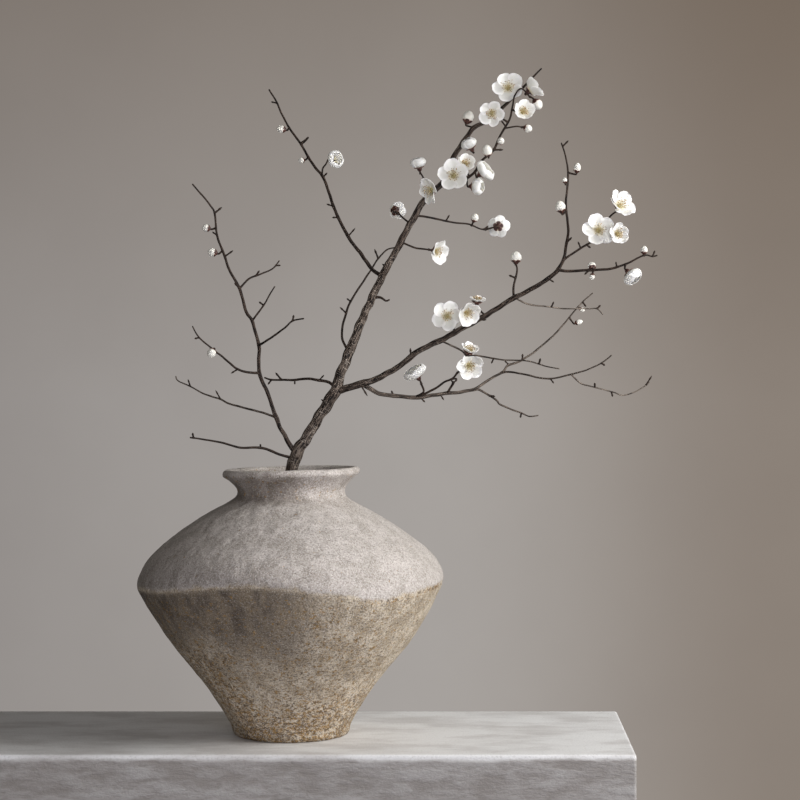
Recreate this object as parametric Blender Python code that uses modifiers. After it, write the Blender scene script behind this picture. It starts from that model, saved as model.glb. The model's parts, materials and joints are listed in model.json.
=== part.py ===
"""A rough stoneware vase that holds one branch of flowering plum.

The vase is turned, the water and the pin holder stand inside it, and the branch grows as one piece from the
pin holder up through the mouth. Blooms, stamens and buds sit on the branch's calyx cups, a hair's breadth
clear of them.

Sizes are in millimetres and are turned to metres once, when a mesh is made. The origin is on the vase's axis
at its foot, +Z is up, and the front looks along +Y.

The branch is drawn as a front elevation: x and z lie on the upright plane through the vase's axis, as an eye
sees them from EYE_DISTANCE away, and depth says how far a point stands behind that plane.
"""
import math
import random
from collections import namedtuple

import bmesh
import bpy
from mathutils import Matrix, Vector

MM = 0.001
GAP = 0.3                   # between a piece and what carries it

# The eye that the front elevation is drawn for
EYE_DISTANCE = 1550
EYE_X = 98
EYE_Z = 298

# Vase: outer outline as (radius, height), foot to lip
VASE_OUTLINE = [
    (52, 0), (57, 14), (79, 48), (105, 80), (121.5, 104), (132, 122), (137, 134), (134, 146), (124, 161),
    (103, 179), (81, 194), (63, 204), (50, 212), (49, 220), (57, 229),
]
VASE_WALL = 7
VASE_FLOOR = 10             # height of the floor's upper face
LIP_RADIUS = 4              # half the thickness of the rounded lip
LIP_CENTRE = (57.5, 233.5)
LIP_STEPS = 5
LIP_START = 200             # degrees round the lip's middle, on its inner side
LIP_SWEEP = 220
VASE_STEPS = 32

# Water
WATER_LEVEL = 122
WATER_HOLE = 14.5           # diameter of the plain hole that the stem stands in
WATER_HOLE_STEPS = 16
CUT_OVERRUN = 1             # how far a cutter runs past what it cuts

# Pin holder, centred under the stem's foot
HOLDER_RADIUS = 30
HOLDER_BASE = 8
HOLDER_STEPS = 24
PIN_HEIGHT = 10
PIN_DIAMETER = 2.2
PIN_SPACING = 8
PIN_MARGIN = 3.5            # from the outermost pins to the base's edge
PIN_SIDES = 3
PIN_TIP = 0.4               # a pin's width at its tip, as a share of its root's
PIN_ROOT = 1                # how deep a pin runs into the base

# Branch
STEM_FOOT_X = -16
STEM_FOOT_Z = VASE_FLOOR + GAP + HOLDER_BASE + GAP
ROUTE_STEP = 20             # between two rings along a limb
KNOT_SWELL = 0.09           # how much a limb's radius wanders, as a share
SPUR_ROOT = 1.9             # diameters of a short side spur
SPUR_TIP = 0.9
SPUR_SIDES = 3
SPUR_LEAN = 2               # how far a spur's tip may stand in front of its root or behind it
STALK_DIAMETER = 1.7
STALK_BEND = 3              # a stalk longer than this bends into its calyx
STALK_RUN = 1               # how far before the calyx it bends, or inside its limb it starts
STALK_SHARE = 1.1           # the widest a stalk may be, as a share of its calyx's radius
CALYX_LENGTH = 3.4
CALYX_RADIUS = 2.7
CALYX_SIDES = 5
CALYX_FOOT = 0.45           # its radius at the stalk, as a share of the stalk's diameter
BUD_CALYX = 0.6             # its radius under a bud, as a share of the bud's
BUD_CALYX_LENGTH = 0.45

# Blooms
PETALS = 5
PETAL_THICKNESS = 0.7
PETAL_SECTOR = 34           # degrees each side of a petal's middle line, so that neighbours stay apart
PETAL_ROWS = 2
PETAL_SHOULDER = 0.84       # how far out a petal's corners reach, as a share of its length
PETAL_CUPPING = 0.22        # how far a petal's sides rise, as a share of its half width
PETAL_RISE = 14             # degrees more that a petal stands up at its root than at its tip
PETAL_CLAW = 0.1            # half width where the rounding starts, as a share of the petal's length
PETAL_ROUND = 0.4           # what the rounding adds to it
PETAL_BULGE = (0.18, 0.6)   # the rounding runs over these shares of a half circle: its start and its length
PETAL_SWAY = 5              # degrees by which a petal may stand up more or less than its bloom says
HUB_RADIUS = 2.2
HUB_SIDE = 26               # degrees each side of a petal's middle line that its root takes up on the hub
STAMEN_DOME = 1.5           # radius of the small dome that the stamens stand on
STAMEN_FOOT = -0.3          # where the dome is cut flat, as a share of its radius
STAMEN_FLAT = 0.7           # its height as a share of a round dome's
STAMEN_ROOTS = 0.25         # its facets above this height, as a share of its radius, carry stamens
STAMEN_INNER = 0.6          # stamens rooted inside this share of its radius stand nearly upright
STAMEN_INNER_LEAN = 0.3
STAMEN_WIDEST = 50          # degrees that the outer stamens lean out, where the petals leave room
STAMEN_ROOM = 0.62          # the share of the room between the petals and upright that they take
STAMEN_LENGTH = (0.36, 0.48)    # as a share of the bloom's radius
STAMEN_TURN = 0.15          # radians by which a stamen may stray round the bloom
STAMEN_INSET = 0.2
STAMEN_TIP = 2.2            # an anther's width, as a share of its filament's
BUD_SIDES = 6
BUD_RINGS = 5
BUD_FOOT = 0.8              # how far below its middle a bud's flat foot lies, as a share of its radius

# A limb's girths and depths are spaced evenly from its root to its tip. Its first depth is its parent's.
Limb = namedtuple("Limb", "parent girths depths route")
LIMBS = {
    "leader": Limb(
        None, (10.6, 10.8, 10.6, 10.4, 10.2, 8.8, 6.8, 6, 5, 3.8, 1.4), (0, 0, 0, 0, 0, 6, 14, 22, 20, 10, -4),
        [(STEM_FOOT_X, STEM_FOOT_Z), (-16, 75), (-15, 130), (-9, 185), (0, 235), (3, 245), (6, 254), (13, 264),
         (24, 282), (33, 296), (40, 308), (43, 318), (47, 328), (52, 342), (61, 364), (69, 383), (78, 403),
         (88, 422), (99, 442), (109, 461), (119, 478), (136, 494), (142, 506), (147, 519), (152, 527),
         (159, 537), (164, 544), (177, 551), (192, 564), (199, 571), (207, 579), (216, 588), (225, 597)]),
    "left stem": Limb(
        "leader", (4.6, 3.6, 3.2, 2.6, 2, 1.4), (0, -8, -18, -30, -38, -44),
        [(4, 252), (0, 256), (-9, 272), (-15, 286), (-21, 304), (-29, 324), (-29, 346), (-32, 358), (-36, 371),
         (-41, 379), (-47, 400), (-55, 414), (-60, 428), (-67, 447), (-69, 466), (-73, 474), (-89, 493)]),
    "lowest left twig": Limb(
        "leader", (2.8, 2.2, 1.5), (0, -20, -34),
        [(2, 246), (-7, 249), (-14, 251), (-28, 256), (-47, 256), (-65, 261), (-91, 265)]),
    "pale left twig": Limb(
        "left stem", (2.2, 1.8, 1.2), (0, 14, 34, 46),
        [(-14, 283), (-28, 288), (-47, 293), (-57, 296), (-65, 300), (-78, 304), (-91, 311), (-102, 316),
         (-104, 320)]),
    "left twig": Limb(
        "left stem", (2.4, 1.9, 1.2), (0, -16, -36, -48),
        [(-29, 323), (-41, 324), (-49, 327), (-60, 336), (-70, 344), (-83, 355), (-89, 365)]),
    "inner left twig": Limb(
        "left stem", (2.2, 1.4), (0, -26, -40),
        [(-29, 348), (-18, 355), (-7, 363), (1, 370), (11, 372)]),
    "short left twig": Limb(
        "left stem", (2, 1.2), (0, -8), [(-35, 370), (-25, 384), (-20, 393), (-15, 401)]),
    "high left twig": Limb(
        "left stem", (2, 1.2), (0, 12), [(-47, 399), (-38, 408), (-28, 412), (-17, 417), (-11, 424)]),
    "crossing twig": Limb(
        "leader", (3, 2.4, 1.6), (0, 14, 26),
        [(39, 309), (35, 314), (28, 316), (15, 318), (3, 317), (-9, 317), (-18, 317), (-24, 319)]),
    "back twig": Limb(
        "leader", (2.4, 2, 1.4), (0, 26, 44),
        [(51, 342), (46, 353), (46, 364), (48, 373), (52, 385), (57, 394), (63, 403), (71, 415), (79, 427),
         (86, 434), (93, 436)]),
    "upper left stem": Limb(
        "leader", (3.8, 3.2, 2.8, 2.2, 1.6), (0, 30, 48, 62, 70),
        [(82, 410), (72, 417), (61, 433), (52, 444), (43, 461), (38, 473), (29, 498), (22, 507), (13, 521),
         (8, 530), (-1, 542), (-8, 555), (-14, 568), (-20, 578)]),
    "stub": Limb("leader", (3.2, 1.6), (0, -4), [(77, 389), (80, 391), (85, 388), (88, 389)]),
    "right limb": Limb(
        "leader", (6.4, 5.4, 5, 4.4, 3.6), (0, -14, -28, -42, -56),
        [(38, 308), (49, 309), (62, 313), (79, 319), (98, 330), (107, 337), (116, 344), (135, 353), (155, 364),
         (168, 371), (188, 383), (199, 390), (213, 397), (231, 408), (241, 417)]),
    "right end": Limb(
        "right limb", (2.8, 2.2, 1.3), (0, -10, -16),
        [(240, 416), (250, 415), (274, 416), (287, 417), (303, 422), (317, 429), (325, 428), (329, 429)]),
    "right shoot": Limb(
        "right limb", (3, 2.4, 2, 1.3), (0, 12, 26, 32),
        [(240, 416), (245, 426), (247, 437), (249, 452), (247, 474), (249, 501), (247, 517), (243, 530)]),
    "bloom shoot": Limb(
        "right shoot", (2.2, 1.8, 1.6), (0, 6, 12),
        [(245, 424), (252, 430), (261, 436), (272, 443), (281, 455), (287, 464), (293, 469)]),
    "bud shoot": Limb("right limb", (2.2, 1.6), (0, 8), [(200, 391), (200, 401), (203, 415), (202, 421)]),
    "fine right twig": Limb(
        "right limb", (1.7, 1.3, 1.1), (0, 14, 24),
        [(202, 389), (213, 385), (230, 383), (245, 381), (266, 381), (275, 381), (280, 376)]),
    "fine middle twig": Limb(
        "right limb", (1.9, 1.5, 1.1), (0, -16, -28),
        [(134, 352), (152, 344), (158, 339), (166, 339), (190, 335), (212, 334), (230, 329), (241, 327)]),
    "lower limb": Limb(
        "right limb", (4.2, 3.8, 3.4, 3), (0, 12, 22, 30),
        [(64, 313), (72, 308), (81, 304), (98, 302), (115, 301), (126, 303), (142, 305), (153, 306), (167, 309)]),
    "lower bloom twig": Limb(
        "lower limb", (2.4, 1.8), (0, -12), [(112, 302), (129, 309), (138, 315), (145, 318), (149, 323)]),
    "scaly twig": Limb("lower limb", (2, 2.4), (0, -6), [(140, 305), (144, 311), (146, 315)]),
    "fan stalk": Limb("lower limb", (2.2, 1.8), (0, -8), [(111, 302), (118, 305), (119, 308), (117, 313)]),
    "sweeping twig": Limb(
        "lower limb", (2.6, 2.1, 1.7, 1.2), (0, 14, 26, 34),
        [(166, 309), (176, 316), (190, 324), (195, 330), (206, 334), (221, 344), (237, 358), (245, 367),
         (255, 379), (262, 387), (271, 395)]),
    "far right twig": Limb(
        "sweeping twig", (2, 1.6, 1.2), (0, -18, -34),
        [(189, 323), (197, 324), (214, 321), (221, 319), (233, 318), (244, 320), (260, 324), (266, 326),
         (279, 332), (288, 339)]),
    "far fine twig": Limb(
        "far right twig", (1.5, 1.3, 1), (0, 10, 20),
        [(252, 321), (260, 314), (270, 311), (289, 306), (298, 303), (309, 306), (319, 312), (322, 315)]),
    "drooping twig": Limb(
        "lower limb", (2.2, 1.8, 1.2), (0, 18, 30),
        [(166, 309), (171, 307), (184, 299), (189, 294), (207, 287), (214, 284), (222, 285)]),
    "top shoot": Limb(
        "leader", (2.8, 2.4, 2.2, 1.8, 1.3), (0, -18, -30, -34, -36),
        [(134, 492), (150, 495), (164, 503), (170, 513), (182, 524), (188, 537), (196, 551), (199, 563),
         (201, 573), (207, 579), (214, 572)]),
    "top bud twig": Limb("top shoot", (1.6, 1.3), (0, -4), [(192, 543), (203, 545), (208, 544)]),
    "middle twig": Limb(
        "leader", (2.2, 1.8, 1.4), (0, 12, 20),
        [(111, 465), (125, 463), (138, 460), (149, 458), (160, 457), (169, 453), (174, 452)]),
    "middle bloom twig": Limb("leader", (2, 1.6), (0, -10), [(99, 441), (110, 436), (117, 435), (124, 434)]),
    "bloom 21 stalk": Limb("leader", (2, 1.6), (0, 8), [(106, 458), (100, 463), (97, 466)]),
    "bloom 24 stalk": Limb("leader", (1.9, 1.5), (0, -3), [(119, 479), (120, 489), (119, 498), (116, 503)]),
    "bloom 20 stalk": Limb(
        "upper left stem", (1.8, 1.4), (0, -6), [(28, 500), (28, 507), (31, 511), (33, 515)]),
    "thick spur": Limb("upper left stem", (2.8, 2), (0, -4), [(8, 529), (12, 532), (15, 535)]),
}

# Short spurs and leaf buds: where each leaves its limb and where it ends, on the elevation
SPURS = {
    "leader": [(119, 478, 119, 484), (86, 418, 82, 421), (61, 364, 66, 368), (33, 296, 27, 299)],
    "left stem": [(-69, 467, -63, 472), (-60, 428, -53, 433), (-47, 399, -51, 404), (-67, 447, -71, 450)],
    "lowest left twig": [(-88, 265, -89, 269), (-28, 255, -28, 259)],
    "pale left twig": [(-64, 299, -68, 307), (-91, 311, -93, 317)],
    "left twig": [(-48, 327, -54, 323), (-83, 355, -87, 354)],
    "inner left twig": [(1, 370, 2, 375)],
    "short left twig": [(-25, 384, -29, 387)],
    "high left twig": [(-32, 410, -29, 415), (-15, 420, -10, 420)],
    "crossing twig": [(-9, 317, -14, 323), (-18, 317, -21, 313), (3, 317, 3, 313), (25, 317, 29, 321)],
    "back twig": [(49, 377, 44, 382), (54, 387, 50, 390), (78, 426, 75, 434)],
    "upper left stem": [(51, 446, 57, 453), (42, 463, 37, 463), (38, 473, 32, 475), (28, 499, 32, 503),
                        (-13, 566, -18, 567)],
    "right limb": [(62, 313, 68, 303), (107, 338, 107, 345), (167, 371, 175, 371), (231, 408, 236, 405)],
    "right end": [(293, 418, 292, 423), (325, 428, 327, 433), (268, 416, 264, 412)],
    "right shoot": [(248, 440, 252, 445), (244, 527, 249, 532)],
    "bloom shoot": [(260, 436, 258, 441), (265, 439, 269, 436)],
    "bud shoot": [(200, 409, 196, 411)],
    "fine right twig": [(234, 383, 236, 387), (275, 381, 278, 384)],
    "fine middle twig": [(223, 332, 224, 336), (182, 336, 180, 332)],
    "lower limb": [(116, 301, 120, 297), (134, 303, 137, 299), (92, 303, 90, 307)],
    "lower bloom twig": [(144, 318, 149, 318)],
    "scaly twig": [(146, 314, 143, 318), (146, 314, 149, 317)],
    "sweeping twig": [(208, 335, 208, 340), (196, 330, 192, 334), (262, 387, 265, 383)],
    "far right twig": [(233, 318, 236, 314), (279, 332, 282, 330)],
    "far fine twig": [(273, 310, 273, 314), (288, 306, 289, 302), (319, 312, 324, 320)],
    "drooping twig": [(178, 303, 183, 302), (207, 287, 206, 283)],
    "top shoot": [(182, 524, 190, 524), (193, 545, 189, 550), (160, 500, 158, 504)],
    "middle twig": [(139, 460, 142, 465), (173, 452, 177, 455)],
}

# Blooms: the limb that carries it, where it sits on the elevation, how far in front of that limb (negative) or
# behind it, the way it faces, its radius, and how far its petals stand up from flat, in degrees
Bloom = namedtuple("Bloom", "limb x z forward facing radius tilt stamens")
BLOOMS = {
    "01": Bloom("leader", 195, 579, -9, (-0.05, -0.97, 0.2), 15, 12, True),
    "02": Bloom("top shoot", 213, 576, 1, (0.8, -0.05, 0.6), 14.5, 36, False),
    "03": Bloom("top shoot", 180.5, 557, -8, (-0.15, -0.9, -0.3), 12.5, 14, True),
    "04": Bloom("top shoot", 208, 558, -6, (0.2, -0.95, 0.15), 12, 34, True),
    "05": Bloom("leader", 146, 500.5, -12, (-0.1, -0.97, 0.12), 15.5, 12, True),
    "06": Bloom("leader", 156, 510.5, 3, (0.15, -0.93, 0.3), 11, 36, False),
    "07": Bloom("top shoot", 170, 502, -7, (0.75, -0.35, 0.55), 13, 44, False),
    "08": Bloom("middle bloom twig", 128.5, 433, -2, (0.75, -0.6, -0.25), 14, 32, True),
    "09": Bloom("middle twig", 186, 455, 4, (0.15, 0.97, 0.1), 12, 22, False),
    "10": Bloom("bloom shoot", 276, 451, -9, (0.05, -0.97, 0.15), 15, 14, True),
    "11": Bloom("bloom shoot", 292.5, 448, -13, (0.35, -0.9, 0.05), 11.5, 30, True),
    "12": Bloom("bloom shoot", 294.5, 472.5, -3, (0.45, -0.72, 0.53), 15.5, 20, False),
    "13": Bloom("right limb", 140, 374, -2, (-0.02, -0.98, 0.18), 14.3, 12, True),
    "14": Bloom("right limb", 157, 378, -7, (0.42, -0.82, -0.35), 13.5, 28, True),
    "15": Bloom("right limb", 167, 387, 3, (0.1, -0.35, 0.93), 8.2, 20, False),
    "16": Bloom("lower bloom twig", 159.5, 330, -6, (0.25, -0.92, -0.25), 13.8, 16, True),
    "17": Bloom("fine middle twig", 159, 342, -2, (0.33, -0.5, 0.8), 10, 28, False),
    "18": Bloom("fan stalk", 114, 319, -2, (-0.5, -0.25, 0.82), 13.5, 39, False),
    "19": Bloom("right end", 303, 414, -2, (0.6, -0.35, -0.7), 12.5, 52, False),
    "20": Bloom("bloom 20 stalk", 37, 514.5, -1, (0.6, -0.78, 0.1), 11, 46, False),
    "21": Bloom("bloom 21 stalk", 93, 469, 3, (0.4, 0.88, 0.15), 11, 36, False),
    "22": Bloom("top shoot", 162.5, 491, 3, (0.9, -0.4, -0.05), 12, 54, False),
    "23": Bloom("leader", 162, 525, -9, (-0.45, -0.3, 0.83), 11, 55, False),
    "24": Bloom("bloom 24 stalk", 115, 507.5, -1, (-0.2, -0.3, 0.94), 11, 54, False),
    "25": Bloom("leader", 127, 488, -10.8, (-0.82, -0.5, -0.28), 14.5, 16, True),
}

# Buds: as the blooms, with the bud's radius and its length as a share of its width
Bud = namedtuple("Bud", "limb x z forward facing radius stretch")
BUDS = {
    "01": Bud("top shoot", 219, 568, 0, (0.6, 0.1, -0.78), 4.6, 1.0),
    "02": Bud("top bud twig", 210, 544, 0, (0.93, -0.1, -0.3), 3.5, 1.0),
    "03": Bud("top shoot", 188, 530.7, -4, (0.1, -0.9, 0.3), 3.1, 1.05),
    "04": Bud("top shoot", 177, 519.5, -4, (-0.2, -0.5, 0.85), 4.4, 1.15),
    "05": Bud("leader", 158, 549, 1, (0.25, 0.2, 0.95), 5, 1.15),
    "06": Bud("middle twig", 164, 460, -1, (0.35, -0.2, 0.92), 3.6, 1.0),
    "07": Bud("bud shoot", 202, 423, 0, (0, 0, 1), 5, 1.0),
    "08": Bud("right shoot", 243, 468.6, -3.4, (-0.25, -0.1, 0.96), 4.5, 1.1),
    "09": Bud("right shoot", 256.5, 504.3, 0, (0.15, -0.1, 0.98), 3.2, 1.3),
    "10": Bud("right shoot", 246.3, 494.5, -2.4, (-0.2, 0, 0.97), 2.2, 1.05),
    "11": Bud("right end", 271, 417.5, 3.5, (-0.2, 0.7, 0.65), 3.6, 1.0),
    "12": Bud("right end", 271, 412, 0, (-0.2, 0, -0.97), 2.4, 1.1),
    "13": Bud("right end", 317, 431, 0, (0.1, 0, 0.99), 3.2, 1.0),
    "14": Bud("sweeping twig", 256, 368, 0, (0.93, 0, 0.3), 2.5, 1.35),
    "15": Bud("sweeping twig", 260, 381, 0, (0.75, -0.3, -0.5), 2.1, 1.1),
    "16": Bud("left stem", -74, 453, 0, (-0.97, 0, 0.2), 3.4, 1.0),
    "17": Bud("left stem", -68, 431, 0, (-0.97, 0, 0.2), 3.8, 1.0),
    "18": Bud("left twig", -70.5, 343.5, -3, (-0.35, -0.6, -0.7), 3.8, 1.05),
    "19": Bud("upper left stem", -6, 542, 0, (-0.97, 0, 0.15), 3.6, 1.15),
    "20": Bud("upper left stem", 11, 514.7, 0, (-0.8, -0.4, -0.2), 2.8, 1.0),
}

MATERIALS = {
    "stoneware": ((0.49, 0.43, 0.37, 1), 0.85, 0.0),
    "water": ((0.75, 0.82, 0.82, 1), 0.05, 0.0),
    "brass": ((0.62, 0.46, 0.2, 1), 0.35, 1.0),
    "bark": ((0.055, 0.04, 0.032, 1), 0.8, 0.0),
    "petal": ((0.86, 0.84, 0.79, 1), 0.6, 0.0),
    "pollen": ((0.45, 0.27, 0.07, 1), 0.7, 0.0),
}


def clear_scene():
    """Remove whatever the scene opened with."""
    for thing in list(bpy.data.objects):
        bpy.data.objects.remove(thing, do_unlink=True)


def new_collection(name):
    """A collection of the scene."""
    collection = bpy.data.collections.new(name)
    bpy.context.scene.collection.children.link(collection)
    return collection


def new_material(name, colour, roughness, metallic):
    """A plain finish from a linear colour."""
    material = bpy.data.materials.new(name)
    material.use_nodes = True
    shader = material.node_tree.nodes["Principled BSDF"]
    shader.inputs["Base Color"].default_value = colour
    shader.inputs["Roughness"].default_value = roughness
    shader.inputs["Metallic"].default_value = metallic
    return material


def add_object(name, mesh, collection, material=None, smooth_angle=40):
    """An object for a finished mesh, shaded smooth but for its sharp edges."""
    thing = bpy.data.objects.new(name, mesh)
    collection.objects.link(thing)
    mesh.materials.clear()
    if material:
        mesh.materials.append(material)
    mesh.shade_smooth()
    mesh.set_sharp_from_angle(angle=math.radians(smooth_angle))
    return thing


def evaluated_mesh(thing):
    """A copy of an object's mesh with its modifiers applied."""
    graph = bpy.context.evaluated_depsgraph_get()
    graph.update()
    return bpy.data.meshes.new_from_object(thing.evaluated_get(graph))


def bmesh_object(name, shape, collection):
    """An object from a bmesh in millimetres."""
    bmesh.ops.scale(shape, vec=(MM, MM, MM), verts=shape.verts)
    mesh = bpy.data.meshes.new(name)
    shape.to_mesh(mesh)
    shape.free()
    return add_object(name, mesh, collection)


def union(name, pieces, material, collection):
    """Fuse pieces that run into each other to one solid, and remove them."""
    body, others = pieces[0], pieces[1:]
    joining = new_collection("joining")
    for piece in others:
        for home in list(piece.users_collection):
            home.objects.unlink(piece)
        joining.objects.link(piece)
    join = body.modifiers.new("union", "BOOLEAN")
    join.operation = "UNION"
    join.operand_type = "COLLECTION"
    join.collection = joining
    join.solver = "MANIFOLD"
    fused = add_object(name, evaluated_mesh(body), collection, material)
    for piece in pieces:
        bpy.data.objects.remove(piece, do_unlink=True)
    bpy.data.collections.remove(joining)
    return fused


def turned(name, outline, steps, collection, material):
    """A solid of revolution from (radius, height) points that run down its outer side."""
    mesh = bpy.data.meshes.new(name)
    points = [(radius * MM, 0, height * MM) for radius, height in outline]
    mesh.from_pydata(points, [(i, i + 1) for i in range(len(points) - 1)], [])
    thing = add_object(name, mesh, collection, material)
    screw = thing.modifiers.new("turn", "SCREW")
    screw.steps = screw.render_steps = steps
    screw.use_merge_vertices = True
    screw.merge_threshold = 0.00005
    return thing


def difference(thing, cutters):
    """Cut each cutter out of a solid, and keep the cutters hidden."""
    for cutter in cutters:
        cutter.hide_render = True
        cutter.display_type = "WIRE"
        cut = thing.modifiers.new("cut", "BOOLEAN")
        cut.operation = "DIFFERENCE"
        cut.object = cutter
        cut.solver = "EXACT"


def inset(outline, distance):
    """The outline moved inwards, square to its own run."""
    moved = []
    for index, point in enumerate(outline):
        before = Vector(outline[max(index - 1, 0)])
        after = Vector(outline[min(index + 1, len(outline) - 1)])
        run = (after - before).normalized()
        moved.append((point[0] - run.y * distance, point[1] + run.x * distance))
    return moved


def radius_at(outline, height):
    """The outline's radius at a height."""
    for (low_radius, low), (high_radius, high) in zip(outline, outline[1:]):
        if low <= height <= high:
            return low_radius + (high_radius - low_radius) * (height - low) / (high - low)
    raise ValueError(f"the outline has no height {height}")


def vase_inside():
    """The vase's inner wall as (radius, height), floor to neck."""
    wall = inset(VASE_OUTLINE, VASE_WALL)[::2]
    return [(radius_at(wall, VASE_FLOOR), VASE_FLOOR)] + [point for point in wall if point[1] > VASE_FLOOR]


def build_vase(collection, material):
    """The vase: floor, inner wall, rounded lip, outer wall, foot."""
    lip = []
    for step in range(LIP_STEPS):
        turn = math.radians(LIP_START - LIP_SWEEP * step / (LIP_STEPS - 1))
        lip.append((LIP_CENTRE[0] + LIP_RADIUS * math.cos(turn), LIP_CENTRE[1] + LIP_RADIUS * math.sin(turn)))
    outline = [(0, VASE_FLOOR)] + vase_inside() + lip + VASE_OUTLINE[::-1] + [(0, 0)]
    return turned("vase", outline, VASE_STEPS, collection, material)


def cylinder(name, radius, low, high, x, collection, sides=HOLDER_STEPS):
    """An upright closed cylinder."""
    shape = bmesh.new()
    bmesh.ops.create_cone(
        shape, cap_ends=True, segments=sides, radius1=radius, radius2=radius, depth=high - low,
        matrix=Matrix.Translation((x, 0, (low + high) / 2)))
    return bmesh_object(name, shape, collection)


def build_water(collection, cutters, material):
    """The water up to its level, with a plain hole for the stem and a recess round the pin holder."""
    outline = inset(vase_inside(), GAP)
    bottom = VASE_FLOOR + GAP
    side = [point for point in outline[1:] if point[1] < WATER_LEVEL - 1][::-1]
    side = [(radius_at(outline, WATER_LEVEL), WATER_LEVEL)] + side + [(outline[0][0], bottom)]
    water = turned("water", [(0, WATER_LEVEL)] + side + [(0, bottom)], VASE_STEPS, collection, material)
    recess_top = bottom + HOLDER_BASE + PIN_HEIGHT + GAP
    recess = cylinder(
        "pin holder recess", HOLDER_RADIUS + GAP, bottom - CUT_OVERRUN, recess_top, STEM_FOOT_X, cutters)
    hole = cylinder(
        "stem hole", WATER_HOLE / 2, recess_top - CUT_OVERRUN, WATER_LEVEL + CUT_OVERRUN, STEM_FOOT_X, cutters,
        WATER_HOLE_STEPS)
    difference(water, [recess, hole])
    return water


def facing_matrix(point, facing):
    """A frame at a point whose Z looks along facing."""
    return Matrix.Translation(point) @ Vector(facing).to_track_quat("Z", "Y").to_matrix().to_4x4()


def cone_between(name, start, end, radii, sides, collection):
    """A closed cone or prism from one point to another."""
    run = end - start
    shape = bmesh.new()
    bmesh.ops.create_cone(
        shape, cap_ends=True, segments=sides, radius1=radii[0], radius2=radii[1], depth=run.length,
        matrix=facing_matrix((start + end) / 2, run))
    return bmesh_object(name, shape, collection)


def build_pin_holder(collection, material):
    """A round base with upright pins, none where the stem stands."""
    bottom = VASE_FLOOR + GAP
    pieces = [cylinder("base", HOLDER_RADIUS, bottom, bottom + HOLDER_BASE, STEM_FOOT_X, collection)]
    stem_clearance = LIMBS["leader"].girths[0] / 2 + PIN_DIAMETER / 2 + GAP
    rows = int(HOLDER_RADIUS / PIN_SPACING)
    for row in range(-rows, rows + 1):
        for column in range(-rows, rows + 1):
            x = (column + 0.5 * (row % 2)) * PIN_SPACING
            y = row * PIN_SPACING * math.sin(math.radians(60))
            if not stem_clearance < math.hypot(x, y) < HOLDER_RADIUS - PIN_MARGIN:
                continue
            root = Vector((x + STEM_FOOT_X, y, bottom + HOLDER_BASE - PIN_ROOT))
            tip = root + Vector((0, 0, PIN_HEIGHT + PIN_ROOT))
            radii = (PIN_DIAMETER / 2, PIN_DIAMETER * PIN_TIP / 2)
            pieces.append(cone_between("pin", root, tip, radii, PIN_SIDES, collection))
    return union("pin_holder", pieces, material, collection)


def in_space(x, z, depth):
    """A point of the elevation, moved along the eye's line of sight to its depth."""
    spread = 1 + depth / EYE_DISTANCE
    return Vector((EYE_X + (x - EYE_X) * spread, depth, EYE_Z + (z - EYE_Z) * spread))


def even_value(values, share):
    """The value at a share of the way along evenly spaced values."""
    place = share * (len(values) - 1)
    index = min(int(place), len(values) - 2)
    return values[index] + (values[index + 1] - values[index]) * (place - index)


def smooth_point(before, start, end, after, share):
    """A point between start and end on the smooth curve that also passes before and after."""
    square, cube = share * share, share ** 3
    return 0.5 * (2 * start + (end - before) * share + (2 * before - 5 * start + 4 * end - after) * square
                  + (3 * start - before - 3 * end + after) * cube)


def smooth_route(points, step):
    """Points about a step apart on the smooth curve through a route."""
    path = []
    last = len(points) - 1
    for index in range(last):
        start, end = points[index], points[index + 1]
        before, after = points[max(index - 1, 0)], points[min(index + 2, last)]
        pieces = max(1, round((end - start).length / step))
        path += [smooth_point(before, start, end, after, piece / pieces) for piece in range(pieces)]
    return path + [points[-1]]


def arc_shares(points):
    """How far along a route each of its points lies, from 0 to 1."""
    lengths = [0]
    for start, end in zip(points, points[1:]):
        lengths.append(lengths[-1] + (end - start).length)
    return [length / lengths[-1] for length in lengths]


def nearest_on(path, place):
    """The point of a path that is nearest to a place on the elevation, as (x, z, depth)."""
    best = None
    for start, end in zip(path, path[1:]):
        run = Vector((end[0] - start[0], end[1] - start[1]))
        offset = Vector((place[0] - start[0], place[1] - start[1]))
        share = max(0, min(1, offset.dot(run) / max(run.length_squared, 1e-9)))
        point = tuple(a + (b - a) * share for a, b in zip(start, end))
        gap = math.hypot(point[0] - place[0], point[1] - place[1])
        if best is None or gap < best[0]:
            best = (gap, point)
    return best[1]


def limb_paths():
    """Each limb's path as (x, z, depth) points of the elevation, rooted in its parent's middle."""
    paths = {}
    for name, limb in LIMBS.items():
        flat = smooth_route([Vector(point) for point in limb.route], ROUTE_STEP)
        shares = arc_shares(flat)
        root_depth = 0
        if limb.parent:
            root = nearest_on(paths[limb.parent], flat[0])
            root_depth = root[2]
            flat[0] = Vector(root[:2])
        paths[name] = [(point.x, point.y, root_depth + even_value(limb.depths, share))
                       for point, share in zip(flat, shares)]
    return paths


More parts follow.
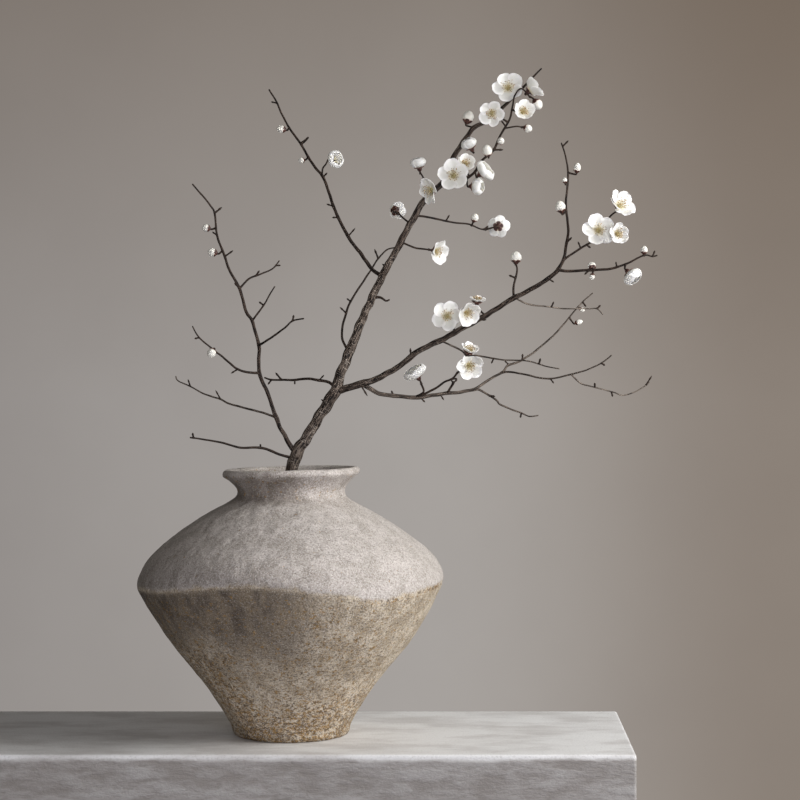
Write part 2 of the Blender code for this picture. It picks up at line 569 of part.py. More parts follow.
def tube(name, points, diameters, collection):
    """A round closed tube through points in millimetres, with as many sides as its girth needs."""
    curve = bpy.data.curves.new(name, "CURVE")
    curve.dimensions = "3D"
    curve.bevel_depth = MM / 2
    curve.bevel_resolution = 2 if max(diameters) > 5 else 1 if max(diameters) > 3.1 else 0
    curve.use_fill_caps = True
    spline = curve.splines.new("POLY")
    spline.points.add(len(points) - 1)
    for knot, point, diameter in zip(spline.points, points, diameters):
        knot.co = (*(point * MM), 1)
        knot.radius = diameter
    thing = bpy.data.objects.new(name, curve)
    collection.objects.link(thing)
    mesh = evaluated_mesh(thing)
    bpy.data.objects.remove(thing, do_unlink=True)
    shape = bmesh.new()
    shape.from_mesh(mesh)
    bmesh.ops.remove_doubles(shape, verts=shape.verts, dist=0.00001)
    shape.to_mesh(mesh)
    shape.free()
    return add_object(name, mesh, collection)


def seat_point(holder, paths):
    """Where a bloom or bud sits in space."""
    depth = nearest_on(paths[holder.limb], (holder.x, holder.z))[2]
    return in_space(holder.x, holder.z, depth + holder.forward)


def calyx_size(holder):
    """A calyx cup's radius and length: a bud's go by the bud."""
    if isinstance(holder, Bud):
        return holder.radius * BUD_CALYX, holder.radius * BUD_CALYX_LENGTH
    return CALYX_RADIUS, CALYX_LENGTH


def stalk_and_calyx(holder, paths, collection):
    """The stalk from a limb to a bloom or bud, and the five-sided calyx cup at its end."""
    seat = seat_point(holder, paths)
    facing = Vector(holder.facing).normalized()
    cup, length = calyx_size(holder)
    root = in_space(*nearest_on(paths[holder.limb], (holder.x, holder.z)))
    calyx_foot = seat - facing * length
    inside = (calyx_foot + seat) / 2
    if (calyx_foot - root).length > STALK_BEND:
        stalk = [root, calyx_foot - facing * STALK_RUN, inside]
    else:
        stalk = [root - facing * STALK_RUN, inside]
    girth = min(STALK_DIAMETER, cup * STALK_SHARE)
    return [tube("stalk", stalk, [girth] * len(stalk), collection),
            cone_between("calyx", calyx_foot, seat, (girth * CALYX_FOOT, cup), CALYX_SIDES, collection)]


def build_branch(paths, collection, material):
    """All the wood, with its spurs, stalks and calyx cups, as it grew: in one piece."""
    wander = random.Random(7)
    pieces = []
    for name, limb in LIMBS.items():
        points = [in_space(*place) for place in paths[name]]
        diameters = [even_value(limb.girths, share) * (1 + KNOT_SWELL * wander.uniform(-1, 1))
                     for share in arc_shares(points)]
        pieces.append(tube(name, points, diameters, collection))
    for name, spurs in SPURS.items():
        for root_x, root_z, tip_x, tip_z in spurs:
            root = nearest_on(paths[name], (root_x, root_z))
            tip = in_space(tip_x, tip_z, root[2] + wander.uniform(-SPUR_LEAN, SPUR_LEAN))
            radii = (SPUR_ROOT / 2, SPUR_TIP / 2)
            pieces.append(cone_between("spur", in_space(*root), tip, radii, SPUR_SIDES, collection))
    for holder in list(BLOOMS.values()) + list(BUDS.values()):
        pieces += stalk_and_calyx(holder, paths, collection)
    return union("branch", pieces, material, collection)


def petal_point(bloom, tilt, across, along):
    """A point of a petal that lies along +X, across from -1 to 1 and along from 0 at its root to 1."""
    length = bloom.radius - HUB_RADIUS
    reach = along * (PETAL_SHOULDER if across else 1)
    steep = tilt + math.radians(PETAL_RISE) * (1 - reach)
    out = HUB_RADIUS + length * reach * math.cos(steep)
    bulge = math.sin(math.pi * (PETAL_BULGE[0] + PETAL_BULGE[1] * along))
    wide = length * (PETAL_CLAW + PETAL_ROUND * bulge)
    side = min(wide, out * math.tan(math.radians(PETAL_SECTOR)))
    cupped = abs(across) * side * PETAL_CUPPING * along
    up = PETAL_THICKNESS / 2 + length * reach * math.sin(steep)
    return Vector((out - cupped * math.sin(steep), across * side, up + cupped * math.cos(steep)))


def bloom_sheet(bloom, chance):
    """A bloom as one open sheet: a round hub, with five petals drawn out of its edge."""
    shape = bmesh.new()
    bmesh.ops.create_circle(shape, cap_ends=True, segments=3 * PETALS, radius=HUB_RADIUS)
    ring = sorted(shape.verts, key=lambda vertex: math.atan2(vertex.co.y, vertex.co.x))
    start = chance.uniform(0, math.tau)
    for petal in range(PETALS):
        turn = Matrix.Rotation(start + petal * math.tau / PETALS, 3, "Z")
        tilt = math.radians(bloom.tilt + chance.uniform(-PETAL_SWAY, PETAL_SWAY))
        row = [ring[3 * petal + column] for column in range(3)]
        for vertex, across in zip(row, (-1, 0, 1)):
            side = math.radians(HUB_SIDE) * across
            vertex.co = turn @ Vector((HUB_RADIUS * math.cos(side), HUB_RADIUS * math.sin(side), PETAL_THICKNESS / 2))
        for step in range(1, PETAL_ROWS + 1):
            edges = [shape.edges.get((row[0], row[1])), shape.edges.get((row[1], row[2]))]
            drawn = bmesh.ops.extrude_edge_only(shape, edges=edges)["geom"]
            new = [vertex for vertex in drawn if isinstance(vertex, bmesh.types.BMVert)]
            row = [min(new, key=lambda vertex: (vertex.co - old.co).length) for old in row]
            for vertex, across in zip(row, (-1, 0, 1)):
                vertex.co = turn @ petal_point(bloom, tilt, across, step / PETAL_ROWS)
    bmesh.ops.recalc_face_normals(shape, faces=shape.faces)
    return shape


def place_on_seat(thing, holder, paths, lift):
    """Stand a piece on its seat, the way it faces."""
    facing = Vector(holder.facing).normalized()
    thing.matrix_world = facing_matrix((seat_point(holder, paths) + facing * lift) * MM, facing)


def build_bloom(name, bloom, paths, collection, material):
    """Five petals on a hub, as one body above its calyx."""
    petals = bmesh_object(f"bloom_{name}", bloom_sheet(bloom, random.Random(f"bloom {name}")), collection)
    petals.data.materials.append(material)
    thick = petals.modifiers.new("thickness", "SOLIDIFY")
    thick.thickness = PETAL_THICKNESS * MM
    thick.offset = 0
    place_on_seat(petals, bloom, paths, GAP)
    return petals


def build_stamens(name, bloom, paths, collection, material):
    """Two rings of stamens drawn out of the facets of a small dome that stands on its bloom's hub."""
    chance = random.Random(f"stamens {name}")
    widest = math.radians(min(STAMEN_WIDEST, (90 - bloom.tilt) * STAMEN_ROOM))
    shape = bmesh.new()
    bmesh.ops.create_icosphere(shape, subdivisions=1, radius=STAMEN_DOME)
    foot = STAMEN_DOME * STAMEN_FOOT
    for vertex in shape.verts:
        vertex.co.z = (max(vertex.co.z, foot) - foot) * STAMEN_FLAT
    roots = [face for face in shape.faces if face.calc_center_median().z > STAMEN_DOME * STAMEN_ROOTS]
    bmesh.ops.inset_individual(shape, faces=roots, thickness=STAMEN_INSET)
    for face in bmesh.ops.extrude_discrete_faces(shape, faces=roots)["faces"]:
        middle = face.calc_center_median()
        inner = math.hypot(middle.x, middle.y) < STAMEN_DOME * STAMEN_INNER
        lean = widest * (STAMEN_INNER_LEAN if inner else 1)
        around = math.atan2(middle.y, middle.x) + chance.uniform(-STAMEN_TURN, STAMEN_TURN)
        away = Vector((math.sin(lean) * math.cos(around), math.sin(lean) * math.sin(around), math.cos(lean)))
        anther = middle + away * bloom.radius * chance.uniform(*STAMEN_LENGTH)
        for vertex in face.verts:
            vertex.co = anther + (vertex.co - middle) * STAMEN_TIP
    stamens = bmesh_object(f"stamens_{name}", shape, collection)
    stamens.data.materials.append(material)
    place_on_seat(stamens, bloom, paths, GAP + PETAL_THICKNESS + GAP)
    return stamens


def build_bud(name, bud, paths, collection, material):
    """A closed bud: an egg with a small flat foot that stands on its calyx."""
    shape = bmesh.new()
    bmesh.ops.create_uvsphere(shape, u_segments=BUD_SIDES, v_segments=BUD_RINGS, radius=bud.radius)
    foot = -bud.radius * BUD_FOOT
    for vertex in shape.verts:
        vertex.co.z = max(vertex.co.z, foot) - foot
        vertex.co.z *= bud.stretch
    egg = bmesh_object(f"bud_{name}", shape, collection)
    egg.data.materials.append(material)
    place_on_seat(egg, bud, paths, GAP)
    return egg


def main():
    """Build every piece."""
    clear_scene()
    collection = new_collection("vase of branches")
    cutters = new_collection("cutters")
    materials = {name: new_material(name, *finish) for name, finish in MATERIALS.items()}
    build_vase(collection, materials["stoneware"])
    build_water(collection, cutters, materials["water"])
    build_pin_holder(collection, materials["brass"])
    paths = limb_paths()
    build_branch(paths, collection, materials["bark"])
    for name, bloom in BLOOMS.items():
        build_bloom(name, bloom, paths, collection, materials["petal"])
        if bloom.stamens:
            build_stamens(name, bloom, paths, collection, materials["pollen"])
    for name, bud in BUDS.items():
        build_bud(name, bud, paths, collection, materials["petal"])


main()
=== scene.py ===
"""The looks of a rough stoneware vase that holds one branch of flowering plum.

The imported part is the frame. The vase, the wood and every bloom and bud get a finer shape here, in the places
that the frame gives them, and every surface gets a finish.

Shapes are drawn in millimetres on the vase's axis, +Z up and seen along +Y, and dress() turns a finished mesh
to metres.
"""

import json
import logging
import math
import random
from bisect import bisect_right
from collections.abc import Callable, Sequence
from dataclasses import dataclass, field
from enum import Enum
from itertools import accumulate

import bpy
from mathutils import Matrix, Vector, noise

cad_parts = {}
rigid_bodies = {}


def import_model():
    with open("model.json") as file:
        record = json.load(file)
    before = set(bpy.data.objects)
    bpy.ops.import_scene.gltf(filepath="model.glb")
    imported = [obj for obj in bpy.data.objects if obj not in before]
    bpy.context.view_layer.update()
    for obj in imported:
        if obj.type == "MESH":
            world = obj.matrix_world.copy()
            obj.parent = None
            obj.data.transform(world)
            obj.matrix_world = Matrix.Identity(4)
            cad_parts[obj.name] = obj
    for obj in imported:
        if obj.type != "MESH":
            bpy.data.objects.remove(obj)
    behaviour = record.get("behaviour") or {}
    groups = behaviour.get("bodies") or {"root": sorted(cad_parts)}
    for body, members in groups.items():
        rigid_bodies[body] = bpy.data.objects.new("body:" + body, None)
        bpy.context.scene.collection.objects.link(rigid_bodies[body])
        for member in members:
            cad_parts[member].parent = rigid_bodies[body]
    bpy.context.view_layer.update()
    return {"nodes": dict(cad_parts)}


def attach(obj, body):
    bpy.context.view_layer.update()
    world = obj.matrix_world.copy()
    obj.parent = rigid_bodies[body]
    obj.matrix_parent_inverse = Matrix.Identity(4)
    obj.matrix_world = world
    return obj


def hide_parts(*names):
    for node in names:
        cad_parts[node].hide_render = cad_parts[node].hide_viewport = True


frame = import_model()

MM = 0.001
GOLDEN_TURN = math.radians(137.5)

Point = tuple[float, float, float]
Pair = tuple[float, float]
Move = Callable[[Vector], Sequence[float]]
Socket = bpy.types.NodeSocket
Material = bpy.types.Material
Thing = bpy.types.Object


class Slot(Enum):
    """The record's material slots that the scene dresses."""

    STONEWARE = "stoneware"
    BARK = "bark"
    PETAL = "petal"
    POLLEN = "pollen"


# Small sums that several pieces share


def blend(low: float, high: float, value: float) -> float:
    """How far a value is from low to high, from 0 to 1, with a soft start and end."""
    share = max(0.0, min(1.0, (value - low) / (high - low)))
    return share * share * (3 - 2 * share)


def hump(value: float, middle: float, width: float) -> float:
    """A bell curve of height 1 round middle."""
    return math.exp(-(((value - middle) / width) ** 2))


def uneven(x: float, y: float, z: float, seed: Vector) -> float:
    """Smooth noise from about -1 to 1, which the seed sets apart from another piece's."""
    return noise.noise(Vector((x, y, z)) + seed)


def even_value(values: Sequence[float], share: float) -> float:
    """The value at a share, from 0 to 1, of the way along evenly spaced values."""
    index = min(int(share * (len(values) - 1)), len(values) - 2)
    return values[index] + (values[index + 1] - values[index]) * (share * (len(values) - 1) - index)


def arc_lengths(points: Sequence[Vector]) -> list[float]:
    """How far along a route each of its points lies, in millimetres."""
    return [0.0, *accumulate((end - start).length for start, end in zip(points, points[1:]))]


def smooth_route(points: Sequence[Vector], step: float) -> list[Vector]:
    """Points on the smooth curve through a route, with the route's own among them.

    Args:
        points: The route's own points.
        step: About how far apart two points are to be, in millimetres.

    Returns:
        The points of the curve.
    """
    path = []
    last = len(points) - 1
    for index in range(last):
        start, end = points[index], points[index + 1]
        before, after = points[max(index - 1, 0)], points[min(index + 2, last)]
        pieces = max(1, round((end - start).length / step))
        for piece in range(pieces):
            share = piece / pieces
            path.append(0.5 * (
                2 * start + (end - before) * share
                + (2 * before - 5 * start + 4 * end - after) * share ** 2
                + (3 * start - before - 3 * end + after) * share ** 3))
    return path + [points[-1]]


def facing_frame(point: Vector, facing: Vector) -> Matrix:
    """A frame at a point whose Z looks along facing."""
    return Matrix.Translation(point) @ facing.to_track_quat("Z", "Y").to_matrix().to_4x4()


# Modelling


def pick_only(*things: Thing) -> None:
    """Select these objects and nothing else, the first of them active.

    Args:
        things: The objects.
    """
    bpy.ops.object.select_all(action="DESELECT")
    for thing in things:
        thing.select_set(True)
    if things:
        bpy.context.view_layer.objects.active = things[0]


def start_shape(add: Callable[..., object], place: Sequence[float] = (0, 0, 0), **sizes: object) -> None:
    """Add a primitive on its own at its size and place, and go into edit mode."""
    pick_only()
    add(enter_editmode=True, location=place, **sizes)


def end_shape(name: str) -> Thing:
    """Leave edit mode, name the object and keep its place in its mesh.

    Args:
        name: Its name.

    Returns:
        The object.
    """
    bpy.ops.object.mode_set(mode="OBJECT")
    thing = bpy.context.object
    thing.data.transform(thing.matrix_world)
    thing.matrix_world = Matrix.Identity(4)
    thing.name = name
    return thing


def draw_column(name: str, sides: int, radius: float, rings: Sequence[Pair], height: float = 0) -> Thing:
    """Draw a column out of a circle, ring by ring.

    Args:
        name: Its name.
        sides: How many sides it has.
        radius: Its first ring's.
        rings: For each further ring its distance up, and its size as a share of the one before.
        height: Where its first ring lies.

    Returns:
        The closed column, round the axis.
    """
    start_shape(bpy.ops.mesh.primitive_circle_add, (0, 0, height),
                vertices=sides, radius=radius, fill_type="NGON")
    for distance, scale in rings:
        bpy.ops.mesh.extrude_region_move(TRANSFORM_OT_translate={"value": (0, 0, distance)})
        bpy.ops.transform.resize(value=(scale, scale, 1), center_override=(0, 0, 0))
    return end_shape(name)


def reshape(thing: Thing, move: Move) -> Thing:
    """Move every point of an object's mesh.

    Args:
        thing: The object.
        move: Gives a point's new place from its old one.

    Returns:
        The object.
    """
    for vertex in thing.data.vertices:
        vertex.co = move(vertex.co.copy())
    thing.data.update()
    return thing


def store(thing: Thing, name: str, value: Move) -> Thing:
    """Keep a vector for each point of the mesh, for the finish to read.

    Args:
        thing: The object.
        name: The attribute's name.
        value: Gives the vector from the point's place.

    Returns:
        The object.
    """
    attribute = thing.data.attributes.new(name, "FLOAT_VECTOR", "POINT")
    values = [number for vertex in thing.data.vertices for number in value(vertex.co.copy())]
    attribute.data.foreach_set("vector", values)
    return thing


def copy_of(thing: Thing, name: str, place: Matrix = Matrix.Identity(4)) -> Thing:
    """A copy of an object with its own mesh.

    Args:
        thing: The object to copy.
        name: The copy's name.
        place: Where its mesh goes.

    Returns:
        The copy.
    """
    copy = thing.copy()
    copy.data = thing.data.copy()
    copy.name = name
    copy.data.transform(place)
    bpy.context.scene.collection.objects.link(copy)
    return copy


def join(name: str, things: Sequence[Thing]) -> Thing:
    """Make one object of several.

    Args:
        name: The object's name.
        things: The objects, the first of which takes in the rest.

    Returns:
        The one object.
    """
    if len(things) > 1:
        pick_only(*things)
        bpy.ops.object.join()
    things[0].name = name
    things[0].data.name = name
    return things[0]


def thicken(sheet: Thing, thickness: float) -> None:
    """Give a sheet its thickness, half of it on either side.

    Args:
        sheet: The sheet.
        thickness: In millimetres.
    """
    modifier = sheet.modifiers.new("thickness", "SOLIDIFY")
    modifier.thickness = thickness
    modifier.offset = 0
    pick_only(sheet)
    bpy.ops.object.modifier_apply(modifier=modifier.name)


def discard(*things: Thing) -> None:
    """Remove patterns that have been copied."""
    for thing in things:
        bpy.data.objects.remove(thing, do_unlink=True)


def dress(thing: Thing, material: Material, slot: Slot, nodes: Sequence[str], sharp: float = 70) -> None:
    """Turn a finished piece to metres, give it its finish and set it on the part.

    Args:
        thing: The piece, in millimetres.
        material: Its finish.
        slot: The record's slot that the finish stands for; not used.
        nodes: The CAD nodes that it replaces.
        sharp: The angle in degrees past which an edge stays sharp.
    """
    thing.data.transform(Matrix.Scale(MM, 4))
    thing.data.materials.clear()
    thing.data.materials.append(material)
    pick_only(thing)
    bpy.ops.object.shade_smooth_by_angle(angle=math.radians(sharp))
    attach(thing, "root")
    if nodes:
        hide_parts(*nodes)
    logging.info("%s: %d faces", thing.name, len(thing.data.polygons))


# Finishes


def linear(shade: str) -> tuple[float, float, float, float]:
    """A screen colour, given as "#RRGGBB", as a linear one with an alpha of 1."""
    channels = [int(shade[start:start + 2], 16) / 255 for start in (1, 3, 5)]
    return (*(c / 12.92 if c <= 0.04045 else ((c + 0.055) / 1.055) ** 2.4 for c in channels), 1.0)


def per_metre(size: float) -> float:
    """A pattern's scale for features of a size in millimetres."""
    return 1000 / size


# The inputs that a kind of node takes in order, the output it gives and its settings, where they aren't the
# plain ones. A noise gives about 0.2 to 0.8. A range is carried softly from its first two numbers to its last
# two, and numbers are multiplied unless another operation is named.
KINDS: dict[str, tuple[Sequence[int | str], int | str, dict[str, object]]] = {
    "Attribute": ((), "Vector", {}),
    "Bump": (("Height", "Distance", "Strength", "Normal"), 0, {}),
    "MapRange": (range(5), 0, {"interpolation_type": "SMOOTHSTEP"}),
    "Mapping": (("Vector", "Scale", "Rotation"), 0, {}),
    "Math": (range(2), 0, {"operation": "MULTIPLY"}),
    "Mix": ((0, 6, 7), 2, {"data_type": "RGBA"}),
    "TexCoord": ((), "Object", {}),
    "TexNoise": (("Vector", "Scale", "Detail", "Roughness"), 0, {}),
}


class Nodes:
    """A node tree in the making."""

    def __init__(self, tree: bpy.types.NodeTree) -> None:
        """Take up a tree."""
        self.tree = tree

    def add(self, kind: str, *inputs: object, out: str | None = None, **settings: object) -> Socket:
        """Add a node with its settings, and link or set its inputs.

        Args:
            kind: The node's type, without its ShaderNode prefix.
            inputs: For each input in order a socket to link, a number, a vector or a screen colour.
            out: The output that is wanted, where it isn't the usual one.
            settings: The node's own settings.

        Returns:
            The output.
        """
        order, usual, plain = KINDS.get(kind, (range(3), 0, {}))
        node = self.tree.nodes.new("ShaderNode" + kind)
        for name, value in {**plain, **settings}.items():
            setattr(node, name, value)
        for key, value in zip(order, inputs):
            self.give(node.inputs[key], value)
        return node.outputs[out or usual]

    def give(self, target: Socket, value: object) -> None:
        """Link or set one input.

        Args:
            target: The input.
            value: A socket to link, a number, a vector or a screen colour.
        """
        if isinstance(value, Socket):
            self.tree.links.new(value, target)
        else:
            target.default_value = linear(value) if isinstance(value, str) else value


class Finish(Nodes):
    """A material in the making."""

    def __init__(self, name: str, inputs: dict[str, object]) -> None:
        """Start a material.

        Args:
            name: The finish's name.
            inputs: What the shader's own inputs are set to.
        """
        self.material = bpy.data.materials.new(name)
        self.material.use_nodes = True
        super().__init__(self.material.node_tree)
        self.shade(inputs)

    def shade(self, inputs: dict[str, object]) -> None:
        """Link or set the shader's inputs."""
        for name, value in inputs.items():
            self.give(self.tree.nodes["Principled BSDF"].inputs[name], value)

    def finished(self, colour: Socket, bumps: Sequence[tuple[Socket, float]], **more: Socket) -> Material:
        """Give the shader its patterns.

        Args:
            colour: The base colour.
            bumps: Each pattern with the height in millimetres that it stands for.
            more: The shader's other inputs that follow a pattern.

        Returns:
            The material.
        """
        normal = None
        for height, depth in bumps:
            below = [normal] if normal else []
            normal = self.add("Bump", height, depth * MM, 1.0, *below)
        self.shade({"Base Color": colour, "Normal": normal, **more})
        return self.material


@dataclass(frozen=True)
class Speck:
    """One kind of speck in toasted clay."""

    shade: str
    length: float               # in millimetres
    stretch: Point              # of its pattern along each axis
    turn: Point                 # of its pattern, in radians
    rare: float                 # the pattern's value past which a speck shows on untoasted clay
    more: float                 # how much lower that value is where the clay is fully toasted
    cover: float                # how much of the clay's colour it hides
    depth: float = 0.0          # how deep it is sunk, in millimetres


@dataclass(frozen=True)
class Stoneware:
    """Coarse, wood-fired stoneware, unglazed: dead matt and gritty, pale ash on the shoulder, and toasted
    clay with ochre and dark iron specks below the keel and round the neck. Its stains are mixed with painted
    shade under and over the keel, round the neck and on the shaded left and front."""

    shoulder: str = "#C2BAB3"
    cloud_shade: str = "#A69E95"
    cone: str = "#D2C3AB"
    cone_shade: str = "#B09F85"
    # the colour of dark grit and of stains, which also paints shade under and over the keel, round the neck and
    # on the shaded side
    shade: str = "#54493D"
    ash: str = "#E5E1DB"
    grain: float = 1.6          # the clay's grit, in millimetres, as coarse as it needs to show
    ochre: Speck = Speck("#977230", 3.4, (0.8, 0.8, 1.15), (0, 0.5, 0), 0.67, 0.24, 0.8)
    umber: Speck = Speck("#5E4728", 2.38, (0.8, 0.8, 1.1), (0.7, 0.2, 0.4), 0.68, 0.21, 0.75, 0.3)
    iron: Speck = Speck("#2A231C", 2.1, (1, 1, 1), (0.4, 0.9, 0.2), 0.69, 0.13, 0.8)

    def build(self) -> Material:
        """Make the material.

        Returns:
            The material, which reads the vase's "keel": height over the keel in millimetres, stain mixed with
            painted shade, toasting.
        """
        clay = Finish("wood-fired stoneware", {"IOR": 1.5})
        add = clay.add
        place = add("TexCoord")
        height, stain_and_shade, toast = add("SeparateXYZ", add("Attribute", attribute_name="keel")).node.outputs
        soft = add("TexNoise", place, per_metre(14), 4, 0.6)
        wide = add("TexNoise", place, per_metre(80))
        grit = add("TexNoise", place, per_metre(self.grain), 3, 0.65)
        fine = add("TexNoise", place, per_metre(self.grain * 0.6), 1)
        dimple = add("TexNoise", place, per_metre(11), 1.5)
        pebble = add("TexNoise", place, per_metre(4.5))
        streak = add("TexNoise", add("Mapping", place, (1, 1, 0.45)), per_metre(12), 3)
        drift = add("Math", add("Math", soft, 0.5, operation="SUBTRACT"), 12.0)
        ash = add("MapRange", add("Math", height, drift, operation="ADD"), -2, 3)
        shoulder = add("Mix", add("MapRange", soft, 0.36, 0.6, 0.25, 1.0), self.cloud_shade, self.shoulder)
        cone = add("Mix", add("MapRange", streak, 0.38, 0.6), self.cone_shade, self.cone)
        body = add("Mix", ash, cone, shoulder)
        # Stain mixed with painted shade, broken up by streaks, darkens the clay towards the shade colour
        run = add("Math", stain_and_shade, add("MapRange", streak, 0.3, 0.65, 0.6, 1.0))
        body = add("Mix", run, body, self.shade)
        crowd = add("Math", toast, add("MapRange", wide, 0.3, 0.6, 0.55, 1.0))
        crowd = add("Math", crowd, add("MapRange", stain_and_shade, 0.2, 1, 1.0, 0.6))
        bumps = [(dimple, 1.7), (pebble, 0.5), (grit, 0.7)]
        for speck in (self.ochre, self.umber, self.iron):
            turned = add("Mapping", place, speck.stretch, speck.turn)
            drawn = add("TexNoise", turned, per_metre(speck.length), 3, 0.65)
            lower = add("Math", crowd, speck.more)
            edge = add("Math", speck.rare, lower, operation="SUBTRACT")
            spots = add("MapRange", add("Math", drawn, edge, operation="SUBTRACT"), 0.0, 0.06)
            body = add("Mix", add("Math", spots, speck.cover), body, speck.shade)
            if speck.depth:
                bumps.append((spots, -speck.depth))
        dark = add("MapRange", grit, 0.36, 0.56, 0.62, 0.0)
        gritty = add("Math", dark, add("MapRange", ash, 0, 1, 1.0, 0.72))
        body = add("Mix", gritty, body, self.shade)
        pale = add("MapRange", fine, 0.54, 0.68, 0.0, 0.5)
        flecks = add("Math", pale, add("MapRange", stain_and_shade, 0, 1, 1.0, 0.4))
        body = add("Mix", flecks, body, self.ash)
        return clay.finished(body, bumps, Roughness=add("MapRange", grit, 0.3, 0.7, 0.96, 0.84))


@dataclass(frozen=True)
class Bark:
    """Bark of an old plum: nearly black brown, dull, with long grey fibres where it weathers and pale rings
    of lenticels across them."""

    dark: str = "#120E0C"
    brown: str = "#392C24"
    weathered: str = "#776C62"
    lenticel: str = "#978E84"
    # laid all over the limbs in PALE, partly worn bark and partly painted highlight
    pale: str = "#857A6F"
    fibre: float = 1.1          # a fibre's width in millimetres
    fibre_length: float = 9

    def build(self) -> Material:
        """Make the material.

        Returns:
            The material, which reads the wood's "grain", the place on the limb as if it were straight, and
            "age", the limb's girth in millimetres and how pale its bark is painted, for wear and as painted
            highlight.
        """
        bark = Finish("plum bark", {"IOR": 1.45, "Specular IOR Level": 0.2})
        add = bark.add
        grain = add("Attribute", attribute_name="grain")
        girth, pale = add("SeparateXYZ", add("Attribute", attribute_name="age")).node.outputs[:2]
        fibre = add("TexNoise", add("Mapping", grain, (1, 1, self.fibre / self.fibre_length)),
                    per_metre(self.fibre), 3, 0.6)
        patch = add("TexNoise", grain, per_metre(9))
        ring = add("TexNoise", add("Mapping", grain, (0.16, 0.16, 1)), per_metre(0.8), 1)
        old = add("MapRange", girth, 2.0, 8.5, 0.08, 1.0)
        worn = add("Math", add("MapRange", fibre, 0.42, 0.62), add("MapRange", patch, 0.3, 0.55, 0.35, 0.95))
        spots = add("Math", add("MapRange", ring, 0.64, 0.68), add("MapRange", patch, 0.35, 0.6, 0.2, 0.8))
        body = add("Mix", add("MapRange", fibre, 0.35, 0.65), self.dark, self.brown)
        # Grey worn fibres on thicker limbs, then an all-over pale grey on the limbs in PALE that is partly wear
        # and partly painted highlight, then lenticels.
        for share, much, shade in (
                (worn, old, self.weathered), (pale, add("MapRange", fibre, 0.4, 0.62, 0.15, 0.95), self.pale),
                (spots, old, self.lenticel)):
            body = add("Mix", add("Math", share, much), body, shade)
        return bark.finished(body, [(fibre, 0.5), (ring, 0.18)],
                             Roughness=add("MapRange", fibre, 0.3, 0.7, 0.6, 0.9))


@dataclass(frozen=True)
class Sepal:
    """The skin of calyx cups and young scales: smooth, reddish brown, a little waxy, with a paler edge."""

    body: str = "#4A2C25"
    dark: str = "#2C1B17"
    edge: str = "#7C5244"
    mottle: float = 1.2

    def build(self) -> Material:
        """Make the material.

        Returns:
            The material, which reads a blade's "blade": across, along and distance from the middle.
        """
        skin = Finish("waxy calyx skin", {"Roughness": 0.5, "IOR": 1.42})
        add = skin.add
        edge = add("SeparateXYZ", add("Attribute", attribute_name="blade")).node.outputs[2]
        mottle = add("TexNoise", add("TexCoord"), per_metre(self.mottle))
        body = add("Mix", add("MapRange", mottle, 0.35, 0.65), self.dark, self.body)
        body = add("Mix", add("MapRange", edge, 0.7, 1.0, 0.0, 0.6), body, self.edge)
        return skin.finished(body, [(mottle, 0.12)])


@dataclass(frozen=True)
class PetalSkin:
    """A plum petal: near white and satin, thin enough that light comes through, with fine veins that fan out
    from a faintly green claw. A bud's outer petals are creamier, with a blush."""

    name: str = "plum petal"
    body: str = "#F0EEEA"
    vein: str = "#DDDBD5"
    sheer: str = "#CFCEC4"      # inside the rim, where the flesh is thinnest
    claw: str = "#CFC59C"
    claw_reach: float = 0.36
    through: float = 0.35       # how much of the light goes through the petal's flesh
    vein_width: float = 0.05    # as a share of the petal's width

    def build(self) -> Material:
        """Make the material.

        Returns:
            The material, which reads a blade's "blade": across, along and distance from the middle.
        """
        skin = Finish(self.name, {
            "Roughness": 0.55, "IOR": 1.4, "Subsurface Weight": self.through,
            "Subsurface Radius": (1.0, 0.95, 0.85), "Subsurface Scale": 1.6 * MM})
        add = skin.add
        across, along, rim = add("SeparateXYZ", add("Attribute", attribute_name="blade")).node.outputs
        spread = add("Math", across, add("Math", along, 0.25, operation="ADD"), operation="DIVIDE")
        fan = add("CombineXYZ", spread, add("Math", along, 0.12), rim)
        veins = add("TexNoise", fan, 1 / self.vein_width, 1.0)
        mottle = add("TexNoise", add("TexCoord"), per_metre(3.5))
        body = self.body
        for share, shade in (
                (add("MapRange", veins, 0.5, 0.72, 0.0, 0.65), self.vein),
                (add("MapRange", mottle, 0.4, 0.75, 0.0, 0.3), self.vein),
                (add("MapRange", rim, 0.45, 0.92, 0.6, 0.0), self.sheer),
                (add("MapRange", along, 0.02, self.claw_reach, 0.85, 0.0), self.claw)):
            body = add("Mix", share, body, shade)
        return skin.finished(body, [(veins, 0.012), (mottle, 0.03)])


@dataclass(frozen=True)
class Filament:
    """Stamen threads and the floor of the cup they grow from: pale cream with a green tinge at the root."""

    body: str = "#CDC3A4"
    root: str = "#A99E6B"

    def build(self) -> Material:
        """Make the material.

        Returns:
            The material, whose colour follows a thread's "blade" from root to tip.
        """
        thread = Finish("stamen thread", {"Roughness": 0.5, "IOR": 1.4})
        add = thread.add
        along = add("SeparateXYZ", add("Attribute", attribute_name="blade")).node.outputs[1]
        mottle = add("TexNoise", add("TexCoord"), per_metre(0.8), 1)
        body = add("Mix", add("MapRange", along, 0.0, 0.35), self.root, self.body)
        body = add("Mix", add("MapRange", mottle, 0.4, 0.7, 0.0, 0.25), body, self.root)
        return thread.finished(body, [(mottle, 0.05)])


